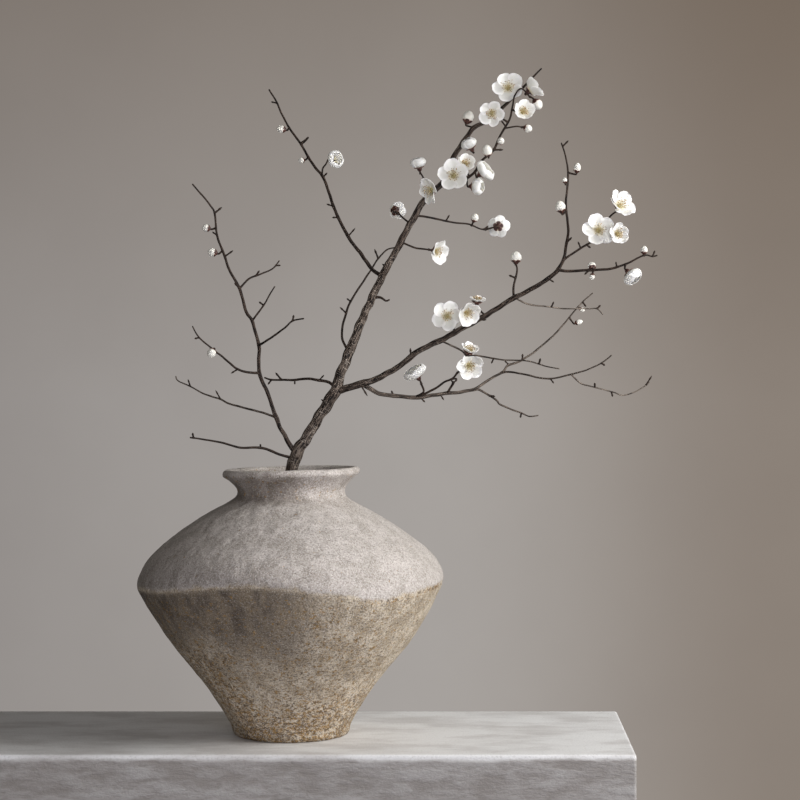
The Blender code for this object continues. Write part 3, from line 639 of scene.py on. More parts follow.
@dataclass(frozen=True)
class Pollen:
    """Ripe anthers dusted with pollen: mealy and dull, golden ochre with browner ones among them."""

    gold: str = "#B38E50"
    brown: str = "#70512B"
    dusted: str = "#C3A268"
    dust: float = 0.35          # a clump of grains in millimetres, as coarse as it needs to show

    def build(self) -> Material:
        """Make the material.

        Returns:
            The material.
        """
        meal = Finish("pollen", {"Roughness": 0.9, "IOR": 1.45})
        add = meal.add
        place = add("TexCoord")
        dust = add("TexNoise", place, per_metre(self.dust), 1)
        ripe = add("MapRange", add("TexNoise", place, per_metre(1.4), 1), 0.4, 0.62)
        body = add("Mix", add("MapRange", dust, 0.5, 0.7, 0.0, 0.5), add("Mix", ripe, self.brown, self.gold),
                   self.dusted)
        return meal.finished(body, [(dust, 0.08)])


@dataclass(frozen=True)
class Water:
    """Still water in the vase: clear, faintly green, with the slightest swell."""

    tint: str = "#DDE8E4"
    crest: str = "#EEF4F1"

    def build(self) -> Material:
        """Make the material.

        Returns:
            The material.
        """
        water = Finish("still water", {"Roughness": 0.02, "IOR": 1.333, "Transmission Weight": 0.95})
        swell = water.add("TexNoise", water.add("TexCoord"), per_metre(26), 1)
        body = water.add("Mix", water.add("MapRange", swell, 0.3, 0.7), self.tint, self.crest)
        return water.finished(body, [(swell, 0.2)])


@dataclass(frozen=True)
class TarnishedBrass:
    """A cast brass pin holder that stands in water: dull gold, browned in patches, brighter where worn."""

    bright: str = "#C9A45A"
    tarnish: str = "#6B5330"

    def build(self) -> Material:
        """Make the material.

        Returns:
            The material.
        """
        brass = Finish("tarnished brass", {"Metallic": 1.0})
        add = brass.add
        place = add("TexCoord")
        patch = add("TexNoise", place, per_metre(8), 4)
        body = add("Mix", add("MapRange", patch, 0.4, 0.62), self.tarnish, self.bright)
        return brass.finished(body, [(add("TexNoise", place, per_metre(0.9)), 0.06)],
                              Roughness=add("MapRange", patch, 0.4, 0.62, 0.6, 0.3))


@dataclass(frozen=True)
class Plaster:
    """A limewashed plinth: pale, chalky, with faint trowel clouds and fine pores, and a bare, torn front."""

    body: str = "#DDDCDA"
    dull: str = "#C5C2BF"
    pore: str = "#9A948D"
    torn: str = "#857F79"

    def build(self) -> Material:
        """Make the material.

        Returns:
            The material.
        """
        lime = Finish("limewashed plaster", {"Roughness": 0.85, "IOR": 1.5})
        add = lime.add
        place = add("TexCoord")
        trowel = add("TexNoise", add("Mapping", place, (0.4, 1, 1)), per_metre(38), 5, 0.6)
        pores = add("TexNoise", place, per_metre(1.8), 3)
        torn = add("TexNoise", add("Mapping", place, (0.3, 1, 1)), per_metre(12), 6, 0.7)
        height = add("SeparateXYZ", place).node.outputs[2]
        ragged = add("Math", height, add("Math", torn, 0.006), operation="ADD")
        front = add("MapRange", ragged, 0.001, -0.003)
        bare = add("Math", front, add("MapRange", torn, 0.38, 0.64, 0.95, 0.7))
        body = add("Mix", add("MapRange", trowel, 0.35, 0.6), self.dull, self.body)
        body = add("Mix", add("MapRange", pores, 0.25, 0.5, 0.3, 0.0), body, self.pore)
        gouges = add("Math", torn, front)
        return lime.finished(add("Mix", bare, body, self.torn), [(trowel, 1.5), (gouges, 2.2), (pores, 0.3)])


# The vase


@dataclass(frozen=True)
class Spot:
    """A point of the plain turned wall."""

    place: Vector
    angle: float                # round the axis in degrees, 0 at the front and positive towards +X
    over: float                 # its height over the keel
    crisp: float                # how crisp the keel is there, up to 1
    pit: float                  # how deep in the lip's pit it lies, up to 1
    outer: float                # 1 on the outside and 0 on the inside


@dataclass
class Vase:
    """The turned vase: floor, inner wall, rounded lip, outer wall and foot, with its hand-made unevenness."""

    outline: Sequence[Pair] = (
        (49, 0), (51.4, 0.5), (52.6, 2.4), (57, 14), (79, 48), (105, 80), (121.5, 104), (132, 122),
        (137, 134), (134, 146), (124, 161), (103, 179), (81, 194), (63, 204), (50, 212), (49, 220), (57, 229))
    wall: float = 7
    floor: float = 10
    lip_radius: float = 4
    lip_centre: Pair = (57.5, 233.5)
    rim_zone: Pair = (208, 232)  # heights over which the lip's waves come in
    # lip_zone also sets where the neck's painted shade comes in, along with its stains
    lip_zone: Pair = (238, 230)  # heights over which the dimples and stains of the neck come in below the lip
    row: float = 2.4            # between two rows of faces
    fine_row: float = 1.1       # the same along the keel
    keel_zone: Pair = (120, 152)
    turns: int = 288
    widest: float = 134         # height of the widest ring, where the keel runs
    keel_waves: Sequence[Point] = (
        (-12, 32, 11.5), (36, 14, -4), (105, 40, 5), (-120, 38, -3), (178, 30, 6))
    crisp_waves: Sequence[Point] = ((-10, 30, 1.0), (120, 34, 0.7), (-165, 36, 0.8))
    ledge: float = 2.6          # how far the keel stands out where it is crisp
    keel_spread: float = 30     # how far over and under itself the keel's rise and fall is felt
    under_fade: float = 15      # how far below the keel its ledge dies away
    dent: float = 0.42          # how deep the dimples are, as a share of their noise
    wobble: float = 0.9         # how far the wall leaves its circle
    waver: float = 0.7          # how far the lip's and the foot's edge do
    ripple: float = 0.55        # how far the lip rises and falls
    slope: float = 0.025        # how much higher the lip lies for every millimetre to the right
    inside: Point = (-40.0, 0.35, 0.15)  # what the finish reads in there
    pit: Point = (25.5, -54, 232.8)
    pit_size: Pair = (1.8, 1.3)  # its width and depth

    def waves(self, bumps: Sequence[Point], angle: float) -> float:
        """The sum of bell-shaped bumps round the vase.

        Args:
            bumps: Each bump's angle, width and height.
            angle: Where the sum is taken, in degrees.

        Returns:
            The sum.
        """
        return sum(
            height * hump((angle - middle + 180) % 360 - 180, 0, width) for middle, width, height in bumps)

    def outer_radius(self, height: float) -> float:
        """The outline's radius at a height, or at its nearest end.

        Args:
            height: The height.

        Returns:
            The radius.
        """
        for (near, low), (far, high) in zip(self.outline, self.outline[1:]):
            if low <= height <= high:
                return near + (far - near) * (height - low) / (high - low)
        return self.outline[0 if height < 0 else -1][0]

    def spot(self, place: Vector) -> Spot:
        """Look up what is to be known of a point of the plain turned wall.

        Args:
            place: The point.

        Returns:
            Its angle, height over the keel and so on.
        """
        angle = math.degrees(math.atan2(place.x, -place.y))
        outer = math.hypot(place.x, place.y) > self.outer_radius(place.z) - self.wall * 0.5
        crisp = min(1.0, self.waves(self.crisp_waves, angle))
        pit = hump((place - Vector(self.pit)).length, 0, self.pit_size[0])
        return Spot(place, angle, place.z - self.widest, crisp, pit, float(outer))

    def profile(self) -> list[Vector]:
        """The wall's cross-section from the middle of the floor, over the lip, to the middle of the foot.

        Returns:
            Points as (radius, height).
        """
        outer = []
        for point in smooth_route([Vector(knot) for knot in self.outline], 1.0):
            step = self.fine_row if self.keel_zone[0] < point.y < self.keel_zone[1] else self.row
            if not outer or (point - outer[-1]).length >= step * 0.97:
                outer.append(point)
        inner = []
        for index in range(0, len(outer) - 1, 3):
            run = (outer[index + 1] - outer[max(index - 1, 0)]).normalized()
            point = outer[index] + Vector((-run.y, run.x)) * self.wall
            if point.y > self.floor + 1.5:
                inner.append(point)
        turns = [math.radians(195 - 230 * step / 12) for step in range(13)]
        lip = [Vector(self.lip_centre) + Vector((math.cos(t), math.sin(t))) * self.lip_radius for t in turns]
        corner = inner[0].x - 0.8
        floor = [Vector((corner * share, self.floor)) for share in (0, 0.1, 0.3, 0.55, 0.8, 0.94, 1)]
        foot = [Vector((self.outline[0][0] * share, 0)) for share in (0.94, 0.8, 0.55, 0.3, 0.1, 0)]
        return floor + inner + lip + outer[::-1] + foot

    def spin_wall(self) -> Thing:
        """Draw the cross-section out of one point and spin it about the axis.

        Returns:
            The closed wall.
        """
        profile = self.profile()
        start_shape(bpy.ops.mesh.primitive_plane_add, size=1)
        bpy.ops.mesh.merge(type="CENTER")
        bpy.ops.transform.translate(value=(profile[0].x, 0, profile[0].y))
        for start, end in zip(profile, profile[1:]):
            bpy.ops.mesh.extrude_region_move(
                TRANSFORM_OT_translate={"value": (end.x - start.x, 0, end.y - start.y)})
        bpy.ops.mesh.select_all(action="SELECT")
        bpy.ops.mesh.spin(steps=self.turns, angle=math.tau, center=(0, 0, 0), axis=(0, 0, 1))
        bpy.ops.mesh.select_all(action="SELECT")
        bpy.ops.mesh.remove_doubles(threshold=0.01)
        bpy.ops.mesh.normals_make_consistent(inside=False)
        return end_shape("vase_body")

    def weathered(self, spot: Spot, out: Vector) -> Vector:
        """Give a point its share of the keel, the dimples, the wavy lip and the pit.

        Args:
            spot: The point.
            out: The wall's normal there.

        Returns:
            The point's new place.
        """
        place, outer = spot.place, spot.outer
        flat = Vector((place.x, place.y, 0)) / max(math.hypot(place.x, place.y), 0.01)
        under = outer * blend(0.4, -1.4, spot.over) * math.exp(min(spot.over, 0) / self.under_fade)
        dent = abs(noise.noise(place / 15)) * 1.6 - 0.4 + 0.5 * noise.noise(place / 7)
        wobble = noise.noise(Vector((flat.x, flat.y, place.z / 80)) * 1.3)
        reach = outer * blend(0, 6, place.z) * blend(236, 226, place.z)
        moved = place + out * reach * (self.dent * dent + self.wobble * wobble)
        moved -= flat * self.ledge * spot.crisp * under
        lift = self.waves(self.keel_waves, spot.angle) * hump(spot.over, 0, self.keel_spread)
        moved.z += lift * blend(0, 40, place.z)
        rim = blend(*self.rim_zone, place.z)
        ripple = self.ripple * noise.noise(Vector((flat.x, flat.y, 3.1)) * 2.2)
        moved.z += rim * (self.slope * place.x + ripple)
        moved += flat * rim * self.waver * noise.noise(Vector((flat.x, flat.y, 9.7)) * 3.1)
        moved -= out * self.pit_size[1] * spot.pit * outer
        foot = hump(place.z, 0, 2.5) * outer
        return moved + flat * foot * self.waver * noise.noise(Vector((flat.x, flat.y, 5.3)) * 6)

    def finish_values(self, spot: Spot) -> Point:
        """What the finish reads at a point.

        Args:
            spot: The point.

        Returns:
            Height over the keel, stain mixed with painted shade, and toasting.
        """
        if not spot.outer:
            return self.inside
        height, over, angle = spot.place.z, spot.over, spot.angle
        drift = 14 * noise.noise(spot.place / 34)
        lee = blend(110, 72, abs((angle + 260) % 360 - 180))    # how far it lies on the shaded left and front
        lip = blend(*self.lip_zone, height)
        # Stain mixed with painted shade. The dark band under the crisp keel is partly painted shade under its
        # ledge. The darkening below and above the keel and round the neck is strongest on the shaded left and
        # front, and 0.1 * lee is painted shade over all of that side.
        ledge = spot.crisp * blend(0, -3, over) * blend(-26 + drift / 2, -8, over) * 0.75
        below = (0.1 + 0.9 * lee) * blend(0, -4, over) * blend(-92 + 2 * drift, -12 + drift, over)
        above = (0.16 + 0.28 * lee) * blend(0, 2, over) * blend(34 + drift / 2, 4, over)
        neck_stain_and_shade = (0.24 + 0.54 * lee) * blend(203, 212, height) * lip
        cone = blend(2, -14, over) * (0.5 + 0.35 * blend(60, 10, height) + 0.5 * hump(angle, -75, 38))
        # The neck toasts more on the shaded side, so its specks also paint shade there.
        neck = (0.2 + 0.45 * lee) * blend(206, 216, height) * lip
        line = 0.9 * hump(over, -5 + 0.05 * angle, 3.5) * blend(8, 40, angle)
        return (over, max(ledge, spot.pit, below, above, neck_stain_and_shade, 0.1 * lee), min(1.0, max(cone, neck, line)))

    def build(self, clay: Material) -> None:
        """Make the vase and dress it.

        Args:
            clay: Its finish.
        """
        wall = self.spin_wall()
        outs = iter([vertex.normal.copy() for vertex in wall.data.vertices])
        store(wall, "keel", lambda place: self.finish_values(self.spot(place)))
        reshape(wall, lambda place: self.weathered(self.spot(place), next(outs)))
        dress(wall, clay, Slot.STONEWARE, ["vase"], sharp=60)


# The branch


@dataclass(frozen=True)
class Limb:
    """One limb on the front elevation. Its girths and depths are spaced evenly from its root to its tip,
    and its first depth is its parent's."""

    parent: str | None
    girths: Sequence[float]
    depths: Sequence[float]
    route: Sequence[Pair]


@dataclass(frozen=True)
class Holder:
    """A bloom or bud's seat: the limb that carries it, its place on the elevation, how far in front of the
    limb (negative) or behind it, the way it faces, and its radius."""

    limb: str
    x: float
    z: float
    forward: float
    facing: Point
    radius: float


@dataclass(frozen=True)
class Bloom(Holder):
    """An open bloom: how far its petals stand up from flat, in degrees, and whether its stamens show."""

    tilt: float
    stamens: bool


@dataclass(frozen=True)
class Bud(Holder):
    """A closed bud, and its length as a share of its width."""

    stretch: float


LIMBS = {
    "leader": Limb(
        None, (10.6, 10.8, 10.6, 10.4, 10.2, 8.8, 6.8, 6, 5, 3.8, 1.4),
        (0, 0, 0, 0, 0, 6, 14, 22, 20, 10, -4),
        [(-16, 18.6), (-16, 75), (-15, 130), (-9, 185), (0, 235), (3, 245), (6, 254), (13, 264),
         (24, 282), (33, 296), (40, 308), (43, 318), (47, 328), (52, 342), (61, 364), (69, 383), (78, 403),
         (88, 422), (99, 442), (109, 461), (119, 478), (136, 494), (142, 506), (147, 519), (152, 527),
         (159, 537), (164, 544), (177, 551), (192, 564), (199, 571), (207, 579), (216, 588), (225, 597)]),
    "left stem": Limb(
        "leader", (4.6, 3.6, 3.2, 2.6, 2, 1.4), (0, -8, -18, -30, -38, -44),
        [(4, 252), (0, 256), (-9, 272), (-15, 286), (-21, 304), (-29, 324), (-29, 346), (-32, 358),
         (-36, 371), (-41, 379), (-47, 400), (-55, 414), (-60, 428), (-67, 447), (-69, 466), (-73, 474),
         (-89, 493)]),
    "lowest left twig": Limb(
        "leader", (2.8, 2.2, 1.5), (0, -20, -34),
        [(2, 246), (-7, 249), (-14, 251), (-28, 256), (-47, 256), (-65, 261), (-91, 265)]),
    "pale left twig": Limb(
        "left stem", (2.2, 1.8, 1.2), (0, 14, 34, 46),
        [(-14, 283), (-28, 288), (-47, 293), (-57, 296), (-65, 300), (-78, 304), (-91, 311), (-102, 316),
         (-104, 320)]),
    "left twig": Limb(
        "left stem", (2.4, 1.9, 1.2), (0, -16, -36, -48),
        [(-29, 323), (-41, 324), (-49, 327), (-60, 336), (-70, 344), (-83, 355), (-89, 365)]),
    "inner left twig": Limb(
        "left stem", (2.2, 1.4), (0, -26, -40),
        [(-29, 348), (-18, 355), (-7, 363), (1, 370), (11, 372)]),
    "short left twig": Limb(
        "left stem", (2, 1.2), (0, -8), [(-35, 370), (-25, 384), (-20, 393), (-15, 401)]),
    "high left twig": Limb(
        "left stem", (2, 1.2), (0, 12), [(-47, 399), (-38, 408), (-28, 412), (-17, 417), (-11, 424)]),
    "crossing twig": Limb(
        "leader", (3, 2.4, 1.6), (0, 14, 26),
        [(39, 309), (35, 314), (28, 316), (15, 318), (3, 317), (-9, 317), (-18, 317), (-24, 319)]),
    "back twig": Limb(
        "leader", (2.4, 2, 1.4), (0, 26, 44),
        [(51, 342), (46, 353), (46, 364), (48, 373), (52, 385), (57, 394), (63, 403), (71, 415), (79, 427),
         (86, 434), (93, 436)]),
    "upper left stem": Limb(
        "leader", (3.8, 3.2, 2.8, 2.2, 1.6), (0, 30, 48, 62, 70),
        [(82, 410), (72, 417), (61, 433), (52, 444), (43, 461), (38, 473), (29, 498), (22, 507), (13, 521),
         (8, 530), (-1, 542), (-8, 555), (-14, 568), (-20, 578)]),
    "stub": Limb("leader", (3.2, 1.6), (0, -4), [(77, 389), (80, 391), (85, 388), (88, 389)]),
    "right limb": Limb(
        "leader", (6.4, 5.4, 5, 4.4, 3.6), (0, -14, -28, -42, -56),
        [(38, 308), (49, 309), (62, 313), (79, 319), (98, 330), (107, 337), (116, 344), (135, 353),
         (155, 364), (168, 371), (188, 383), (199, 390), (213, 397), (231, 408), (241, 417)]),
    "right end": Limb(
        "right limb", (2.8, 2.2, 1.3), (0, -10, -16),
        [(240, 416), (250, 415), (274, 416), (287, 417), (303, 422), (317, 429), (325, 428), (329, 429)]),
    "right shoot": Limb(
        "right limb", (3, 2.4, 2, 1.3), (0, 12, 26, 32),
        [(240, 416), (245, 426), (247, 437), (249, 452), (247, 474), (249, 501), (247, 517), (243, 530)]),
    "bloom shoot": Limb(
        "right shoot", (2.2, 1.8, 1.6), (0, 6, 12),
        [(245, 424), (252, 430), (261, 436), (272, 443), (281, 455), (287, 464), (293, 469)]),
    "bud shoot": Limb("right limb", (2.2, 1.6), (0, 8), [(200, 391), (200, 401), (203, 415), (202, 421)]),
    "fine right twig": Limb(
        "right limb", (1.7, 1.3, 1.1), (0, 14, 24),
        [(202, 389), (213, 385), (230, 383), (245, 381), (266, 381), (275, 381), (280, 376)]),
    "fine middle twig": Limb(
        "right limb", (1.9, 1.5, 1.1), (0, -16, -28),
        [(134, 352), (152, 344), (158, 339), (166, 339), (190, 335), (212, 334), (230, 329), (241, 327)]),
    "lower limb": Limb(
        "right limb", (4.2, 3.8, 3.4, 3), (0, 12, 22, 30),
        [(64, 313), (72, 308), (81, 304), (98, 302), (115, 301), (126, 303), (142, 305), (153, 306),
         (167, 309)]),
    "lower bloom twig": Limb(
        "lower limb", (2.4, 1.8), (0, -12), [(112, 302), (129, 309), (138, 315), (145, 318), (149, 323)]),
    "scaly twig": Limb("lower limb", (2, 2.4), (0, -6), [(140, 305), (144, 311), (146, 315)]),
    "fan stalk": Limb("lower limb", (2.2, 1.8), (0, -8), [(111, 302), (118, 305), (119, 308), (117, 313)]),
    "sweeping twig": Limb(
        "lower limb", (2.6, 2.1, 1.7, 1.2), (0, 14, 26, 34),
        [(166, 309), (176, 316), (190, 324), (195, 330), (206, 334), (221, 344), (237, 358), (245, 367),
         (255, 379), (262, 387), (271, 395)]),
    "far right twig": Limb(
        "sweeping twig", (2, 1.6, 1.2), (0, -18, -34),
        [(189, 323), (197, 324), (214, 321), (221, 319), (233, 318), (244, 320), (260, 324), (266, 326),
         (279, 332), (288, 339)]),
    "far fine twig": Limb(
        "far right twig", (1.5, 1.3, 1), (0, 10, 20),
        [(252, 321), (260, 314), (270, 311), (289, 306), (298, 303), (309, 306), (319, 312), (322, 315)]),
    "drooping twig": Limb(
        "lower limb", (2.2, 1.8, 1.2), (0, 18, 30),
        [(166, 309), (171, 307), (184, 299), (189, 294), (207, 287), (214, 284), (222, 285)]),
    "top shoot": Limb(
        "leader", (2.8, 2.4, 2.2, 1.8, 1.3), (0, -18, -30, -34, -36),
        [(134, 492), (150, 495), (164, 503), (170, 513), (182, 524), (188, 537), (196, 551), (199, 563),
         (201, 573), (207, 579), (214, 572)]),
    "top bud twig": Limb("top shoot", (1.6, 1.3), (0, -4), [(192, 543), (203, 545), (208, 544)]),
    "middle twig": Limb(
        "leader", (2.2, 1.8, 1.4), (0, 12, 20),
        [(111, 465), (125, 463), (138, 460), (149, 458), (160, 457), (169, 453), (174, 452)]),
    "middle bloom twig": Limb("leader", (2, 1.6), (0, -10), [(99, 441), (110, 436), (117, 435), (124, 434)]),
    "bloom 21 stalk": Limb("leader", (2, 1.6), (0, 8), [(106, 458), (100, 463), (97, 466)]),
    "bloom 24 stalk": Limb("leader", (1.9, 1.5), (0, -3), [(119, 479), (120, 489), (119, 498), (116, 503)]),
    "bloom 20 stalk": Limb(
        "upper left stem", (1.8, 1.4), (0, -6), [(28, 500), (28, 507), (31, 511), (33, 515)]),
    "thick spur": Limb("upper left stem", (2.8, 2), (0, -4), [(8, 529), (12, 532), (15, 535)]),
}

# Short spurs and leaf buds: where each leaves its limb and where it ends, on the elevation
SPURS = {
    "leader": [(119, 478, 119, 484), (86, 418, 82, 421), (61, 364, 66, 368), (33, 296, 27, 299)],
    "left stem": [(-69, 467, -63, 472), (-60, 428, -53, 433), (-47, 399, -51, 404), (-67, 447, -71, 450)],
    "lowest left twig": [(-88, 265, -89, 269), (-28, 255, -28, 259)],
    "pale left twig": [(-64, 299, -68, 307), (-91, 311, -93, 317)],
    "left twig": [(-48, 327, -54, 323), (-83, 355, -87, 354)],
    "inner left twig": [(1, 370, 2, 375)],
    "short left twig": [(-25, 384, -29, 387)],
    "high left twig": [(-32, 410, -29, 415), (-15, 420, -10, 420)],
    "crossing twig": [(-9, 317, -14, 323), (-18, 317, -21, 313), (3, 317, 3, 313), (25, 317, 29, 321)],
    "back twig": [(49, 377, 44, 382), (54, 387, 50, 390), (78, 426, 75, 434)],
    "upper left stem": [(51, 446, 57, 453), (42, 463, 37, 463), (38, 473, 32, 475), (28, 499, 32, 503),
                        (-13, 566, -18, 567)],
    "right limb": [(62, 313, 68, 303), (107, 338, 107, 345), (167, 371, 175, 371), (231, 408, 236, 405)],
    "right end": [(293, 418, 292, 423), (325, 428, 327, 433), (268, 416, 264, 412)],
    "right shoot": [(248, 440, 252, 445), (244, 527, 249, 532)],
    "bloom shoot": [(260, 436, 258, 441), (265, 439, 269, 436)],
    "bud shoot": [(200, 409, 196, 411)],
    "fine right twig": [(234, 383, 236, 387), (275, 381, 278, 384)],
    "fine middle twig": [(223, 332, 224, 336), (182, 336, 180, 332)],
    "lower limb": [(116, 301, 120, 297), (134, 303, 137, 299), (92, 303, 90, 307)],
    "lower bloom twig": [(144, 318, 149, 318)],
    "scaly twig": [(146, 314, 143, 318), (146, 314, 149, 317)],
    "sweeping twig": [(208, 335, 208, 340), (196, 330, 192, 334), (262, 387, 265, 383)],
    "far right twig": [(233, 318, 236, 314), (279, 332, 282, 330)],
    "far fine twig": [(273, 310, 273, 314), (288, 306, 289, 302), (319, 312, 324, 320)],
    "drooping twig": [(178, 303, 183, 302), (207, 287, 206, 283)],
    "top shoot": [(182, 524, 190, 524), (193, 545, 189, 550), (160, 500, 158, 504)],
    "middle twig": [(139, 460, 142, 465), (173, 452, 177, 455)],
}

# Limbs whose bark is painted pale grey, and how far: partly worn bark, partly painted highlight that these thin
# limbs catch
PALE = {
    "fine right twig": 0.8, "fine middle twig": 0.6, "sweeping twig": 0.5, "far fine twig": 0.8,
    "far right twig": 0.3, "drooping twig": 0.35, "pale left twig": 0.45, "lower limb": 0.35,
}

BLOOMS = {
    "01": Bloom("leader", 195, 579, -9, (-0.05, -0.97, 0.2), 15, 12, True),
    "02": Bloom("top shoot", 213, 576, 1, (0.8, -0.05, 0.6), 14.5, 36, False),
    "03": Bloom("top shoot", 180.5, 557, -8, (-0.15, -0.9, -0.3), 12.5, 14, True),
    "04": Bloom("top shoot", 208, 558, -6, (0.2, -0.95, 0.15), 12, 34, True),
    "05": Bloom("leader", 146, 500.5, -12, (-0.1, -0.97, 0.12), 15.5, 12, True),
    "06": Bloom("leader", 156, 510.5, 3, (0.15, -0.93, 0.3), 11, 36, False),
    "07": Bloom("top shoot", 170, 502, -7, (0.75, -0.35, 0.55), 13, 44, False),
    "08": Bloom("middle bloom twig", 128.5, 433, -2, (0.75, -0.6, -0.25), 14, 32, True),
    "09": Bloom("middle twig", 186, 455, 4, (0.15, 0.97, 0.1), 12, 22, False),
    "10": Bloom("bloom shoot", 276, 451, -9, (0.05, -0.97, 0.15), 15, 14, True),
    "11": Bloom("bloom shoot", 292.5, 448, -13, (0.35, -0.9, 0.05), 11.5, 30, True),
    "12": Bloom("bloom shoot", 294.5, 472.5, -3, (0.45, -0.72, 0.53), 15.5, 20, False),
    "13": Bloom("right limb", 140, 374, -2, (-0.02, -0.98, 0.18), 14.3, 12, True),
    "14": Bloom("right limb", 157, 378, -7, (0.42, -0.82, -0.35), 13.5, 28, True),
    "15": Bloom("right limb", 167, 387, 3, (0.1, -0.35, 0.93), 8.2, 20, False),
    "16": Bloom("lower bloom twig", 159.5, 330, -6, (0.25, -0.92, -0.25), 13.8, 16, True),
    "17": Bloom("fine middle twig", 159, 342, -2, (0.33, -0.5, 0.8), 10, 28, False),
    "18": Bloom("fan stalk", 114, 319, -2, (-0.5, -0.25, 0.82), 13.5, 39, False),
    "19": Bloom("right end", 303, 414, -2, (0.6, -0.35, -0.7), 12.5, 52, False),
    "20": Bloom("bloom 20 stalk", 37, 514.5, -1, (0.6, -0.78, 0.1), 11, 46, False),
    "21": Bloom("bloom 21 stalk", 93, 469, 3, (0.4, 0.88, 0.15), 11, 36, False),
    "22": Bloom("top shoot", 162.5, 491, 3, (0.9, -0.4, -0.05), 12, 54, False),
    "23": Bloom("leader", 162, 525, -9, (-0.45, -0.3, 0.83), 11, 55, False),
    "24": Bloom("bloom 24 stalk", 115, 507.5, -1, (-0.2, -0.3, 0.94), 11, 54, False),
    "25": Bloom("leader", 127, 488, -10.8, (-0.82, -0.5, -0.28), 14.5, 16, True),
}

BUDS = {
    "01": Bud("top shoot", 219, 568, 0, (0.6, 0.1, -0.78), 4.6, 1.0),
    "02": Bud("top bud twig", 210, 544, 0, (0.93, -0.1, -0.3), 3.5, 1.0),
    "03": Bud("top shoot", 188, 530.7, -4, (0.1, -0.9, 0.3), 3.1, 1.05),
    "04": Bud("top shoot", 177, 519.5, -4, (-0.2, -0.5, 0.85), 4.4, 1.15),
    "05": Bud("leader", 158, 549, 1, (0.25, 0.2, 0.95), 5, 1.15),
    "06": Bud("middle twig", 164, 460, -1, (0.35, -0.2, 0.92), 3.6, 1.0),
    "07": Bud("bud shoot", 202, 423, 0, (0, 0, 1), 5, 1.0),
    "08": Bud("right shoot", 243, 468.6, -3.4, (-0.25, -0.1, 0.96), 4.5, 1.1),
    "09": Bud("right shoot", 256.5, 504.3, 0, (0.15, -0.1, 0.98), 3.2, 1.3),
    "10": Bud("right shoot", 246.3, 494.5, -2.4, (-0.2, 0, 0.97), 2.2, 1.05),
    "11": Bud("right end", 271, 417.5, 3.5, (-0.2, 0.7, 0.65), 3.6, 1.0),
    "12": Bud("right end", 271, 412, 0, (-0.2, 0, -0.97), 2.4, 1.1),
    "13": Bud("right end", 317, 431, 0, (0.1, 0, 0.99), 3.2, 1.0),
    "14": Bud("sweeping twig", 256, 368, 0, (0.93, 0, 0.3), 2.5, 1.35),
    "15": Bud("sweeping twig", 260, 381, 0, (0.75, -0.3, -0.5), 2.1, 1.1),
    "16": Bud("left stem", -74, 453, 0, (-0.97, 0, 0.2), 3.4, 1.0),
    "17": Bud("left stem", -68, 431, 0, (-0.97, 0, 0.2), 3.8, 1.0),
    "18": Bud("left twig", -70.5, 343.5, -3, (-0.35, -0.6, -0.7), 3.8, 1.05),
    "19": Bud("upper left stem", -6, 542, 0, (-0.97, 0, 0.15), 3.6, 1.15),
    "20": Bud("upper left stem", 11, 514.7, 0, (-0.8, -0.4, -0.2), 2.8, 1.0),
}


@dataclass
class Growth:
    """Where the branch grows in space: each limb's path, and each bloom's and bud's seat."""

    eye_distance: float = 1550
    eye_x: float = 98
    eye_z: float = 298
    route_step: float = 20
    paths: dict[str, list[Point]] = field(default_factory=dict)

    def __post_init__(self) -> None:
        """Work out each limb's path as (x, z, depth), rooted in its parent's middle."""
        for name, limb in LIMBS.items():
            flat = smooth_route([Vector(point) for point in limb.route], self.route_step)
            lengths = arc_lengths(flat)
            root_depth = 0.0
            if limb.parent:
                *start, root_depth = self.nearest(limb.parent, flat[0])
                flat[0] = Vector(start)
            self.paths[name] = [
                (point.x, point.y, root_depth + even_value(limb.depths, length / lengths[-1]))
                for point, length in zip(flat, lengths)]

    def in_space(self, x: float, z: float, depth: float) -> Vector:
        """A point of the elevation, moved along the eye's line of sight to its depth."""
        spread = 1 + depth / self.eye_distance
        return Vector((self.eye_x + (x - self.eye_x) * spread, depth, self.eye_z + (z - self.eye_z) * spread))

    def nearest(self, limb: str, place: Sequence[float]) -> Point:
        """The point of a limb that is nearest to a place on the elevation.

        Args:
            limb: The limb's name.
            place: The place as (x, z).

        Returns:
            The point as (x, z, depth).
        """
        points = []
        for start, end in zip(self.paths[limb], self.paths[limb][1:]):
            run = Vector((end[0] - start[0], end[1] - start[1]))
            offset = Vector((place[0] - start[0], place[1] - start[1]))
            share = max(0, min(1, offset.dot(run) / max(run.length_squared, 1e-9)))
            points.append(tuple(a + (b - a) * share for a, b in zip(start, end)))
        return min(points, key=lambda point: math.hypot(point[0] - place[0], point[1] - place[1]))

    def curve(self, limb: str, step: float) -> list[Vector]:
        """A limb's middle line in space.

        Args:
            limb: The limb's name.
            step: About how far apart its points are to be.

        Returns:
            The points.
        """
        knots = [self.in_space(*place) for place in self.paths[limb]]
        kept = [knots[0]]
        for knot in knots[1:]:
            if (knot - kept[-1]).length > 0.5:
                kept.append(knot)
        return smooth_route(kept, step)

    def seat(self, holder: Holder) -> Vector:
        """Where a bloom or bud sits in space."""
        depth = self.nearest(holder.limb, (holder.x, holder.z))[2]
        return self.in_space(holder.x, holder.z, depth + holder.forward)

    def stand(self, holder: Holder, lift: float = 0) -> Matrix:
        """A frame that looks the way a bloom or bud faces, a lift above its seat."""
        facing = Vector(holder.facing).normalized()
        return facing_frame(self.seat(holder) + facing * lift, facing)


